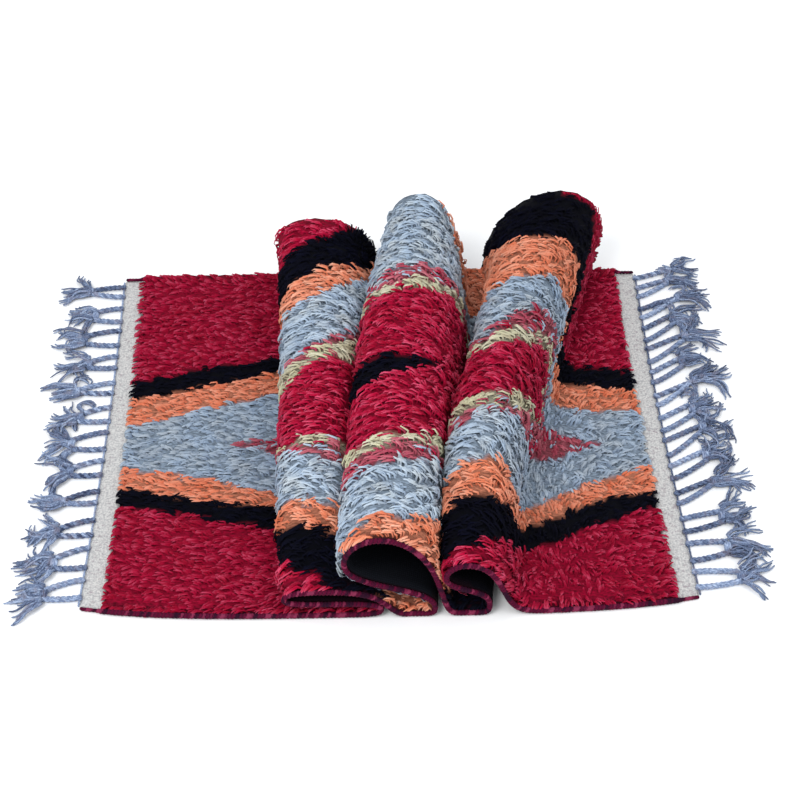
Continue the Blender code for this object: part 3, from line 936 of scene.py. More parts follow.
class Draw(IntEnum):
    """Columns of a lock's random numbers, by what they set first."""

    WOOL = 0
    TIP = 1
    REACH = 2
    SWAY = 3
    TURN = 4
    TONE = 5
    HEIGHT = 6


@dataclass
class Locks:
    """The lock that each strand belongs to: its middle in metres and its own random numbers."""

    middle_u: np.ndarray
    middle_v: np.ndarray
    chance: np.ndarray


@dataclass
class Growth:
    """Where each strand grows and which way it lies over.

    U and v are metres along and across the cloth. Beside is the place across the lock, from -1 at one
    side to 1 at the other, and hollow is its square.
    """

    place: np.ndarray
    height: np.ndarray
    u: np.ndarray
    v: np.ndarray
    from_u: np.ndarray
    from_v: np.ndarray
    chance: np.ndarray
    out_front: np.ndarray
    out_back: np.ndarray
    curl: np.ndarray
    way_u: np.ndarray
    way_v: np.ndarray
    way: np.ndarray
    beside: np.ndarray
    hollow: np.ndarray


@dataclass
class Strands:
    """Centres, directions, tones and painted shade of many strands of wool; the last centre of each is its
    tip.
    """

    centres: np.ndarray
    upright: np.ndarray
    facing: np.ndarray
    width: np.ndarray
    tone: np.ndarray
    # painted shade: how far each strand is dimmed towards its deep colour
    shade: np.ndarray
    yarn: np.ndarray
    place: np.ndarray


@dataclass(frozen=True)
class Rim:
    """How the pile goes over the cloth's long edges. Pushes, limits and widths are in metres.

    Lying is near both ends, where the cloth is flat on the floor, and hanging is the left fold's tip.
    """

    width: float = 0.030
    back_calm: float = 0.5
    back_push: float = 0.010
    back_lying_push: float = 0.008
    front_push: float = 0.010
    hanging_push: float = 0.006
    back_limit: float = 0.0105
    front_limit: float = 0.0050
    front_lying_limit: float = 0.0045
    hanging_limit: float = 0.005
    front_lowering: float = 0.14
    back_raising: float = 0.13
    front_sink: float = 0.75
    back_sink: float = 0.30
    end_sink: float = 0.5
    drop: float = 0.20
    lowest: float = 0.0022
    lying_from: tuple[float, float] = (0.36, 0.40)
    hanging_place: float = 0.315
    hanging_spread: float = 0.03


@dataclass(frozen=True)
class Spikes:
    """Tufts that stand up by themselves at the back end of the left fold, on the right of its top."""

    place: float = 0.382
    across: float = 0.975
    place_spread: float = 0.015
    across_spread: float = 0.05
    standing: float = 1.05
    height: float = 0.027
    least: float = 0.2
    plain_share: float = 0.15


@dataclass
class Pile:
    """The knotted pile: strands of hand-spun wool in soft locks that lie over along the cloth.

    Lengths are in metres. A pair that ends in spread holds the ends that random factors lie between,
    and a pair that ends in growth holds what there is at least and what is added in full.
    """

    form: RugForm
    rim: Rim = Rim()
    spikes: Spikes = Spikes()
    seed: int = 7
    pitch_along: float = 0.0051
    pitch_across: float = 0.0050
    shake: float = 0.42
    end_inset: float = 0.002
    edge_inset: float = 0.004
    pressed_share: float = 0.15
    open_room: tuple[float, float] = (0.012, 0.024)
    rim_share: float = 0.025
    rim_room: float = 0.008
    lock_pitch: float = 0.0128
    lock_half: float = 0.55
    lock_pull: float = 0.55
    lock_rounding: float = 0.44
    lock_roundness: float = 0.85
    lock_cut: float = 1.3
    wave_along: tuple[float, float, float] = (37.0, 3.0, 23.0)
    wave_across: tuple[float, float, float] = (41.0, 2.3, 19.0)
    wave_turn: float = 0.35
    lock_turn: float = 2.0
    turn_growth: tuple[float, float] = (0.20, 0.80)
    sideways: tuple[float, float] = (1.2, 0.5)
    least_way: float = 0.2
    strand_length: float = 0.0200
    low_growth: tuple[float, float] = (0.60, 0.40)
    reach_growth: tuple[float, float] = (0.78, 0.40)
    reach_spread: tuple[float, float] = (0.86, 1.10)
    hollow_shortening: float = 0.12
    stray: float = 0.11
    height_growth: tuple[float, float] = (0.78, 0.40)
    height_spread: tuple[float, float] = (0.95, 1.05)
    tip_growth: tuple[float, float] = (0.58, 0.30)
    tip_spread: tuple[float, float] = (0.90, 1.10)
    crown_room: float = 0.88
    tip_room: float = 0.85
    root_room: float = 0.4
    root_height: float = 0.0030
    crown_lift: float = 1.45
    bend_share: float = 0.30
    strand_sway: float = 0.0022
    lock_sway: float = 0.0090
    lean: float = 0.9
    upright_at: float = 0.40
    strand_width: float = 0.0045
    width_spread: tuple[float, float] = (0.82, 1.18)
    strand_jag: float = 0.0020
    lock_jag_along: float = 0.0070
    lock_jag_across: float = 0.0080
    shown_share: float = 0.55
    tone_parts: tuple[float, float, float, float] = (0.22, 0.30, 0.45, 0.30)
    wool_parts: tuple[float, float] = (0.35, 0.65)
    mixed_pink: float = 0.32
    mixed_straw: float = 0.16
    grey_share: float = 0.6
    left_overlap: tuple[float, float] = (0.005, 0.009)
    left_jag: float = 0.0015
    right_jag: float = 0.009
    flatness: float = 0.66
    soft_share: float = 0.62
    fibre_turns: float = 2.2
    fibre_stretch: float = 0.9
    fibre_shift: float = 61.0
    ring_places: tuple[float, ...] = (0.0, 0.42, 0.84)
    ring_widths: tuple[float, ...] = (0.70, 1.00, 0.70)
    sides: int = 3
    ring_floor: float = 0.0004
    regions: tuple[tuple[str, float, float], ...] = (
        ("left", -1.0, 0.30), ("middle", 0.30, 0.70), ("right", 0.70, 2.0))

    def roots(self, rng: np.random.Generator) -> tuple[np.ndarray, np.ndarray]:
        """Places of the roots: a staggered grid with a random step, sparser where the cloth is pressed.

        Args:
            rng: Seeded source of the random steps.

        Returns:
            Shares along and across the cloth.
        """
        lines = int(self.form.width / self.pitch_across)
        columns = int(self.form.mean_length / self.pitch_along)
        u, v = np.meshgrid(np.arange(columns), np.arange(lines))
        u = u + 0.5 * (v % 2) + rng.uniform(-self.shake, self.shake, u.shape)
        v = v + 0.5 + rng.uniform(-self.shake, self.shake, v.shape)
        place = np.clip((u.reshape(-1) + 0.3) / columns, self.end_inset, 1 - self.end_inset)
        height = np.clip(v.reshape(-1) / lines, self.edge_inset, 1 - self.edge_inset)
        room = self.form.at(place, height).room
        near_edge = np.minimum(height, 1 - height) < self.rim_share
        share = self.pressed_share + (1 - self.pressed_share) * smooth_step(room, *self.open_room)
        keep = (rng.random(len(place)) < share) | (near_edge & (room > self.rim_room))
        return place[keep], height[keep]

    def locks(self, u: np.ndarray, v: np.ndarray, rng: np.random.Generator) -> Locks:
        """Gathers strands into locks: each one goes to the nearest of a shaken grid of middles.

        Args:
            u: Metres along the cloth of the roots.
            v: Metres across the cloth of the roots.
            rng: Seeded source of the shaking and of each lock's numbers.

        Returns:
            Each strand's lock.
        """
        cell_u = np.floor(u / self.lock_pitch).astype(int)
        cell_v = np.floor(v / self.lock_pitch).astype(int)
        shape = (cell_u.max() + 3, cell_v.max() + 3)
        shaken_u = np.arange(shape[0])[:, None] - 0.5 + rng.uniform(-self.shake, self.shake, shape)
        shaken_v = np.arange(shape[1])[None] - 0.5 + rng.uniform(-self.shake, self.shake, shape)
        middle_u = shaken_u * self.lock_pitch
        middle_v = shaken_v * self.lock_pitch
        near_u = cell_u[:, None] + np.repeat([0, 1, 2], 3)[None]
        near_v = cell_v[:, None] + np.tile([0, 1, 2], 3)[None]
        distance = np.hypot(middle_u[near_u, near_v] - u[:, None], middle_v[near_u, near_v] - v[:, None])
        best = distance.argmin(axis=1)
        line = np.arange(len(u))
        pick_u = near_u[line, best]
        pick_v = near_v[line, best]
        chance = rng.random((*shape, len(Draw)))[pick_u, pick_v]
        return Locks(middle_u[pick_u, pick_v], middle_v[pick_u, pick_v], chance)

    def wave(self, first: np.ndarray, second: np.ndarray, turns: tuple[float, float, float]) -> np.ndarray:
        """Slow wave over the cloth: half of sin(a first + b sin(c second))."""
        a, b, c = turns
        return 0.5 * np.sin(first * a + b * np.sin(second * c))

    def grow(self, rng: np.random.Generator) -> Growth:
        """Roots of all strands, their locks and the way that each lock lies over.

        A lock turns out of the pile's lie by its curl times its own number and a slow wave.

        Args:
            rng: Seeded source of the roots and the locks.

        Returns:
            Where each strand grows and which way it lies.
        """
        place, height = self.roots(rng)
        u = place * self.form.mean_length
        v = height * self.form.width
        lock = self.locks(u, v, rng)
        wave = self.wave(u, v, self.wave_along) + self.wave(v, u, self.wave_across)
        out_front = 1 - smooth_step(v, 0.0, self.rim.width)
        out_back = smooth_step(v, self.form.width - self.rim.width, self.form.width)
        curl = PILE_CURL.at(place) * (1 - self.rim.back_calm * out_back)
        forward = PILE_LIE.at(place)
        least, added = self.turn_growth
        turned = self.lock_turn * (lock.chance[:, Draw.TURN] - 0.5) + self.wave_turn * wave
        turn = (least + added * curl) * turned
        way_u = forward * np.cos(turn)
        way_v = np.sin(turn) * (self.sideways[0] - self.sideways[1] * np.abs(forward))
        way = np.maximum(np.hypot(way_u, way_v), self.least_way)
        from_u = u - lock.middle_u
        from_v = v - lock.middle_v
        beside = (from_v * way_u - from_u * way_v) / way / (self.lock_half * self.lock_pitch)
        hollow = np.clip(beside, -1, 1) ** 2
        return Growth(place, height, u, v, from_u, from_v, lock.chance, out_front, out_back, curl,
                      way_u, way_v, way, beside, hollow)

    def tips(self, grown: Growth, rng: np.random.Generator) -> tuple[np.ndarray, np.ndarray, np.ndarray]:
        """How far each tip lies from its root: the strand's reach along its way, drawn in to its lock.

        Args:
            grown: Where the strands grow and which way they lie.
            rng: Seeded source of each strand's own part.

        Returns:
            Metres along and across the cloth, and how much of each strand stands up as a spike.
        """
        count = len(grown.u)
        chance = grown.chance
        rim = self.rim
        spikes = self.spikes
        stretch = PILE_HEIGHT.at(grown.place) / FULL_HEIGHT
        reach = self.strand_length * (self.low_growth[0] + self.low_growth[1] * stretch)
        reach = reach * (self.reach_growth[0] + self.reach_growth[1] * chance[:, Draw.REACH])
        reach *= rng.uniform(*self.reach_spread, count) * (1 - self.hollow_shortening * grown.hollow)
        stray = rng.normal(0, self.stray, count) * (0.5 + grown.curl)
        ahead = reach * (grown.way_u - stray * grown.way_v) - self.lock_pull * grown.from_u
        aside = reach * (grown.way_v + stray * grown.way_u) - self.lock_pull * grown.from_v
        spiky = np.exp(-((grown.place - spikes.place) / spikes.place_spread) ** 2
                       - ((grown.height - spikes.across) / spikes.across_spread) ** 2)
        spiky *= chance[:, Draw.WOOL] > spikes.plain_share
        ahead *= 1 - spikes.standing * spiky
        ahead = self.hold_ends(grown.u, grown.v, ahead, chance[:, Draw.TONE], rng.random(count))
        hang = np.exp(-((grown.place - rim.hanging_place) / rim.hanging_spread) ** 2) * grown.out_front
        lying = smooth_step(np.abs(grown.place - 0.5), *rim.lying_from)
        aside = (aside + (rim.back_push + rim.back_lying_push * lying) * grown.out_back
                 - rim.front_push * grown.out_front - rim.hanging_push * hang)
        furthest = -grown.v - rim.front_limit - rim.front_lying_limit * lying - rim.hanging_limit * hang
        aside = np.clip(aside, furthest, self.form.width - grown.v + rim.back_limit)
        return ahead, aside, spiky

    def hold_ends(self, u: np.ndarray, v: np.ndarray, ahead: np.ndarray, tuft: np.ndarray,
                  loose: np.ndarray) -> np.ndarray:
        """Keeps the pile's ends: nearly straight over the left heading, and jagged over the right one.

        Args:
            u: Metres along the cloth of the roots.
            v: Metres across the cloth of the roots.
            ahead: How far each strand lies over along the cloth.
            tuft: A number from 0 to 1 for each strand's tuft.
            loose: A number from 0 to 1 for each strand.

        Returns:
            How far each strand lies over, held within both ends.
        """
        share = v / self.form.width
        left = self.left_overlap[0] + self.left_overlap[1] * share
        left = left + self.left_jag * (tuft - 0.5) + self.left_jag * (loose - 0.5)
        right = RIGHT_OVERLAP.at(share) + self.right_jag * (tuft - 0.4)
        return np.clip(ahead, -u - left, self.form.mean_length - u + right)

    def curves(self, grown: Growth, ahead: np.ndarray, aside: np.ndarray, spiky: np.ndarray,
               rng: np.random.Generator) -> tuple[np.ndarray, np.ndarray, np.ndarray]:
        """Each strand as a quadratic curve from its root over a bend to its tip, before it is on the cloth.

        The strands of a lock lie the same way and close up towards its tip; those along its middle stand
        higher than those at its sides.

        Args:
            grown: Where the strands grow and which way they lie.
            ahead: Metres from root to tip along the cloth.
            aside: Metres from root to tip across the cloth.
            spiky: How much of each strand stands up as a spike.
            rng: Seeded source of each strand's own part.

        Returns:
            Metres along the cloth, across it and above it, by strand and ring.
        """
        count = len(grown.u)
        chance = grown.chance
        form = self.form
        lock_high = self.height_growth[0] + self.height_growth[1] * chance[:, Draw.HEIGHT]
        tall = PILE_HEIGHT.at(grown.place) * lock_high * rng.uniform(*self.height_spread, count)
        tall *= 1 - self.lock_rounding * grown.hollow
        tall *= 1 - self.rim.front_lowering * grown.out_front + self.rim.back_raising * grown.out_back
        root_room = form.at(grown.place, grown.height).room
        tip_place = (grown.u + ahead) / form.mean_length
        tip_room = form.at(tip_place, (grown.v + aside) / form.width).room
        high = np.minimum(tall, self.crown_room * root_room)
        tip_high = tall * (self.tip_growth[0] + self.tip_growth[1] * chance[:, Draw.TIP])
        tip_high = np.minimum(tip_high * rng.uniform(*self.tip_spread, count), self.tip_room * tip_room)
        tip_high = tip_high + self.spikes.height * spiky * (self.spikes.least + chance[:, Draw.REACH])
        own_sway = rng.uniform(-self.strand_sway, self.strand_sway, count)
        sway = grown.curl * (own_sway + self.lock_sway * (chance[:, Draw.SWAY] - 0.5))
        bend_u = self.bend_share * ahead - sway * grown.way_v / grown.way
        bend_v = self.bend_share * aside + sway * grown.way_u / grown.way
        root_high = np.minimum(self.root_height, self.root_room * root_room)
        t = self.steps()
        along = grown.u[:, None] + 2 * t * (1 - t) * bend_u[:, None] + t * t * ahead[:, None]
        across = grown.v[:, None] + 2 * t * (1 - t) * bend_v[:, None] + t * t * aside[:, None]
        above = ((1 - t) ** 2 * root_high[:, None] + 2 * t * (1 - t) * self.crown_lift * high[:, None]
                 + t * t * tip_high[:, None])
        return along, across, above

    def steps(self) -> np.ndarray:
        """Shares along a strand of its rings and its tip, in one line."""
        return np.array([*self.ring_places, 1.0])[None, :]

    def lay(self, grown: Growth, along: np.ndarray, across: np.ndarray,
            above: np.ndarray) -> tuple[np.ndarray, np.ndarray, np.ndarray]:
        """Lays the curves on the cloth. A place past the cloth's edge goes on straight and sinks.

        Args:
            grown: Where the strands grow and which way they lie.
            along: Metres along the cloth.
            across: Metres across the cloth.
            above: Metres above the cloth.

        Returns:
            Centres in the row frame, the cloth's upright there, and the way that the lock's side faces.
        """
        rim = self.rim
        kept_along = np.clip(along, 0, self.form.mean_length)
        kept_across = np.clip(across, 0, self.form.width)
        cloth = self.form.at(kept_along / self.form.mean_length, kept_across / self.form.width)
        past_end = along - kept_along
        past = across - kept_across
        sink = np.where(past > 0, rim.back_sink, rim.front_sink)
        above = above - sink * np.abs(past) - rim.end_sink * np.abs(past_end)
        centres = cloth.points + cloth.upright * above[..., None] + cloth.travel * past_end[..., None]
        centres[..., 1] += past
        centres[..., 2] = np.maximum(centres[..., 2] - rim.drop * np.abs(past), rim.lowest)
        side = np.clip(grown.beside, -self.lock_cut, self.lock_cut)
        tilt_u = -self.lock_roundness * side * grown.way_v / grown.way
        tilt_v = self.lock_roundness * side * grown.way_u / grown.way
        lean = self.lean * (self.steps() - self.upright_at)
        lean_u = tilt_u[:, None] + lean * (grown.way_u / grown.way)[:, None]
        lean_v = tilt_v[:, None] + lean * (grown.way_v / grown.way)[:, None]
        facing = cloth.upright + cloth.travel * lean_u[..., None]
        facing[..., 1] += lean_v
        return centres, cloth.upright, unit(facing)

    def strands(self) -> Strands:
        """Every strand, worked out along and across the cloth and in height above it, then laid on it.

        A strand takes the wool of the band that its middle lies over, with a jag of its own and its lock's.

        Returns:
            The strands.
        """
        rng = np.random.default_rng(self.seed)
        grown = self.grow(rng)
        count = len(grown.u)
        chance = grown.chance
        ahead, aside, spiky = self.tips(grown, rng)
        along, across, above = self.curves(grown, ahead, aside, spiky, rng)
        centres, upright, facing = self.lay(grown, along, across, above)
        width = self.strand_width * rng.uniform(*self.width_spread, count)
        jag_u = rng.uniform(-self.strand_jag, self.strand_jag, count)
        jag_u = jag_u + self.lock_jag_along * (chance[:, Draw.REACH] - 0.5)
        jag_v = rng.uniform(-self.strand_jag, self.strand_jag, count)
        jag_v = jag_v + self.lock_jag_across * (chance[:, Draw.SWAY] - 0.5)
        shown_place = (grown.u + self.shown_share * ahead + jag_u) / self.form.mean_length
        shown_height = (grown.v + self.shown_share * aside + jag_v) / self.form.width
        band = band_at(np.clip(shown_place, 0.0005, 0.9995), shown_height)
        # painted shade: strands at a lock's sides are darker, as in the crevices between locks
        base, own, shared, crevice_painted_shade = self.tone_parts
        tone = own * rng.random(count) + shared * chance[:, Draw.TONE] - crevice_painted_shade * grown.hollow + base
        yarn = np.array([YARN_ORDER.index(wool) for wool in BAND_YARNS])[band]
        changed = self.wool_parts[0] * rng.random(count) + self.wool_parts[1] * chance[:, Draw.WOOL]
        yarn = self.blend(yarn, changed, rng.random(count))
        # painted shade of the flat ends, where less light falls than on the folds
        shade = PILE_PAINTED_SHADE.at(grown.place)
        return Strands(centres, upright, facing, width, np.clip(tone, 0, 1), shade, yarn, grown.place)

    def blend(self, yarn: np.ndarray, first: np.ndarray, second: np.ndarray) -> np.ndarray:
        """Mixed knots: some strands of the pink bands are grey or red, and some straw ones are pink.

        Args:
            yarn: Numbers of the bands' yarns.
            first: A number from 0 to 1 for each strand, that says whether it is changed.
            second: A number from 0 to 1 for each strand, that says to what.

        Returns:
            Numbers of the strands' yarns.
        """
        pink = (yarn == YARN_ORDER.index(Yarn.PINK)) & (first < self.mixed_pink)
        straw = (yarn == YARN_ORDER.index(Yarn.STRAW)) & (first < self.mixed_straw)
        mixed = np.where(pink & (second < self.grey_share), YARN_ORDER.index(Yarn.GREY), yarn)
        mixed = np.where(pink & (second >= self.grey_share), YARN_ORDER.index(Yarn.RED), mixed)
        return np.where(straw, YARN_ORDER.index(Yarn.PINK), mixed)

    def mesh(self, name: str, strands: Strands, chosen: np.ndarray,
             material: bpy.types.Material) -> bpy.types.Object:
        """One piece of pile: three-sided tapered strands about their centres.

        A ring's points stand at thirds of a turn: centre + half width (side cos a + flatness upright sin a),
        where side lies across the strand along the cloth; the last ring closes on the tip. A point is
        shaded mostly as its lock's round surface faces, and partly as its strand's own side does.

        Args:
            name: The piece's name.
            strands: All strands.
            chosen: Numbers of this piece's strands.
            material: The wool's material.

        Returns:
            The piece.
        """
        centres = strands.centres[chosen]
        heading = unit(np.gradient(centres, axis=1))[:, :-1]
        side = unit(np.cross(heading, strands.upright[chosen][:, :-1]))
        second = np.cross(side, heading)
        angle = math.tau * (np.arange(self.sides) / self.sides + 0.25)
        half = 0.5 * strands.width[chosen][:, None] * np.array(self.ring_widths)[None]
        spoke = (side[:, :, None] * np.cos(angle)[None, None, :, None]
                 + second[:, :, None] * (self.flatness * np.sin(angle))[None, None, :, None])
        rings = centres[:, :-1, None] + spoke * half[:, :, None, None]
        rings[..., 2] = np.maximum(rings[..., 2], self.ring_floor)
        count = len(chosen)
        ring_count = len(self.ring_places)
        size = self.sides * ring_count + 1
        points = np.concatenate([rings.reshape(count, -1, 3), centres[:, -1:]], axis=1)
        corner = np.arange(size - 1).reshape(ring_count, self.sides)
        turned = np.roll(corner, -1, axis=1)
        quads = np.stack([corner[:-1], corner[1:], turned[1:], turned[:-1]], axis=-1).reshape(-1, 4)
        triangles = np.stack([turned[-1], corner[-1], np.full(self.sides, size - 1)], axis=-1)
        triangles = np.concatenate([triangles, corner[:1]])
        facing = strands.facing[chosen]
        lock_side = np.repeat(facing[:, :-1, None], self.sides, axis=2)
        shaded = unit(self.soft_share * lock_side + (1 - self.soft_share) * unit(spoke))
        normals = np.concatenate([shaded.reshape(count, -1, 3), facing[:, -1:]], axis=1).reshape(-1, 3)
        offset = (np.arange(count) * size)[:, None, None]
        along = np.concatenate([np.repeat(self.ring_places, self.sides), [1.0]])
        turn = np.concatenate([np.tile(angle, ring_count), [0.0]])
        start = (strands.tone[chosen] * self.fibre_shift)[:, None]
        round_x = self.fibre_turns * np.cos(turn)[None]
        round_y = self.fibre_turns * np.sin(turn)[None]
        length = along[None] * self.fibre_stretch + start
        fibre = np.stack(np.broadcast_arrays(round_x, round_y, length), -1)
        piece = add_mesh(name, points.reshape(-1, 3), (quads[None] + offset).reshape(-1, 4),
                         (triangles[None] + offset).reshape(-1, 3), {
                             "strand_tone": np.repeat(strands.tone[chosen], size),
                             "strand_along": np.tile(along, count),
                             "strand_painted_shade": np.repeat(strands.shade[chosen], size),
                             "strand_fibre": fibre.reshape(-1, 3)}, normals)
        piece.data.materials.append(material)
        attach(piece, BODY)
        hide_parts("rug_body")
        return piece

    def build(self) -> list[bpy.types.Object]:
        """Pieces of pile, one for each wool and region of the rug that it grows in.

        Returns:
            The pieces.
        """
        strands = self.strands()
        pieces = []
        for finish in PILE_FINISHES:
            material = finish.make()
            own = strands.yarn == YARN_ORDER.index(finish.yarn)
            for region, low, high in self.regions:
                chosen = np.flatnonzero(own & (strands.place >= low) & (strands.place < high))
                if len(chosen):
                    name = f"pile_{finish.yarn.value}_{region}"
                    pieces.append(self.mesh(name, strands, chosen, material))
        LOG.info("pile: %d strands in %d pieces", len(strands.place), len(pieces))
        return pieces


@dataclass
class Edging:
    """Round overcast edge: yarn wrapped round the cloth's long edge in slanting turns. Lengths in metres."""

    form: RugForm
    seed: int = 11
    diameter: float = 0.0092
    turn_pitch: float = 0.0052
    rings_per_turn: int = 3
    sides: int = 7
    ridge: float = 0.24
    unevenness: float = 0.10
    slant: float = 0.35
    thinning: float = 0.30
    thinning_run: float = 0.012
    end_closing: float = 0.7
    closing_run: tuple[float, float] = (-0.002, 0.0005)
    fibre_stretch: float = 3.0

    def build(self, name: str, node: str, height: float, outward: float,
              material: bpy.types.Material) -> bpy.types.Object:
        """Tube along one edge whose radius rises on each turn and falls between turns.

        The radius is half the diameter times (1 - ridge (1 - |cos(pi s)|)), where s counts turns and
        leans with the angle round the tube. Past the cloth's ends the tube runs on, thinner, along the
        headings' ends.

        Args:
            name: The piece's name.
            node: The CAD node that it stands for.
            height: Share across the cloth of this edge.
            outward: -1 for the front edge and 1 for the back edge.
            material: The edging's material.

        Returns:
            The piece.
        """
        form = self.form
        length = float(form.lengths[0 if outward < 0 else -1])
        past_end = form.heading_width
        turns = int((length + 2 * past_end) / self.turn_pitch)
        rings = turns * self.rings_per_turn + 1
        metres = np.linspace(-past_end, length + past_end, rings)
        kept = np.clip(metres, 0, length)
        cloth = form.at(kept / length, np.full(rings, height))
        beyond = np.abs(metres - kept)[:, None]
        thinned = 1 - self.thinning * smooth_step(beyond, 0.0, self.thinning_run)
        radius = self.diameter / 2
        centres = cloth.points + cloth.travel * (metres - kept)[:, None] + cloth.upright * (radius * thinned)
        edge_y = form.cloth_y(np.full(rings, height), centres[:, 0] + form.middle_x) - form.middle_y
        centres[:, 1] = edge_y + outward * (radius * thinned[:, 0] + form.clearance)
        angle = math.tau * np.arange(self.sides) / self.sides
        count = np.linspace(0, turns, rings)[:, None] + self.slant * np.cos(angle)[None]
        rng = np.random.default_rng(self.seed + int(height))
        drawn = turns + 4
        number = np.clip(np.floor(count + 1.5).astype(int), 0, drawn - 1)
        turn = rng.random(drawn)[number].reshape(-1)
        ridge = np.abs(np.cos(math.pi * count))
        uneven = 1 - self.unevenness * rng.random(drawn)[number]
        radii = radius * (1 - self.ridge * (1 - ridge)) * uneven
        first, last = self.closing_run
        closing = 1 - self.end_closing * smooth_step(beyond, past_end + first, past_end + last)
        tubes = sweep_tubes(centres[None], (radii * thinned * closing)[None], self.sides, ACROSS)
        fibre = np.stack([count.reshape(-1) * self.fibre_stretch, np.cos(tubes.around),
                          np.sin(tubes.around)], axis=1)
        piece = add_mesh(name, tubes.on_floor(), tubes.quads, tubes.triangles, {
            "wrap_ridge": ridge.reshape(-1), "wrap_turn": turn, "strand_fibre": fibre})
        piece.data.materials.append(material)
        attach(piece, BODY)
        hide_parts(node)
        return piece


@dataclass
class Heading:
    """Flat woven band at one end of the rug, slightly uneven, with its corners eased. Lengths in metres."""

    form: RugForm
    rows: int = 130
    columns: int = 10
    thickness: float = 0.0026
    rim_ease: tuple[float, float] = (0.55, 0.45)
    unevenness: float = 0.0005
    waves: tuple[float, float] = (310.0, 145.0)
    thinnest: float = 0.0008
    thickest: float = 0.003

    def build(self, name: str, node: str, side: float, material: bpy.types.Material) -> bpy.types.Object:
        """Slab over the band: its upper side is thickness + unevenness sin(ax) sin(by), and dips at its rim.

        Args:
            name: The piece's name.
            node: The CAD node that it stands for.
            side: -1 for the left end and 1 for the right end.
            material: The weave's material.

        Returns:
            The piece.
        """
        form = self.form
        share, across = np.meshgrid(np.linspace(0, 1, self.rows), np.linspace(0, 1, self.columns),
                                    indexing="ij")
        x = form.end_x(share) - form.heading_width * (1 - across)
        y = form.cloth_y(share, x)
        rim_across = np.minimum(across, 1 - across) * self.columns
        rim_along = np.minimum(share, 1 - share) * self.rows
        rim = np.clip(np.minimum(rim_across, rim_along), 0, 1)
        ease = self.rim_ease[0] + self.rim_ease[1] * rim
        top = self.thickness * ease + self.unevenness * np.sin(x * self.waves[0]) * np.sin(y * self.waves[1])
        top = np.clip(top, self.thinnest, self.thickest)
        upper = np.stack([side * x - form.middle_x, y - form.middle_y, top], axis=-1)
        lower = upper.copy()
        lower[..., 2] = 0.0
        faces = slab_faces(self.rows, self.columns)
        if side < 0:
            faces = faces[:, ::-1]
        piece = add_mesh(name, np.concatenate([upper.reshape(-1, 3), lower.reshape(-1, 3)]), faces)
        piece.data.materials.append(material)
        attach(piece, BODY)
        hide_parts(node)
        return piece


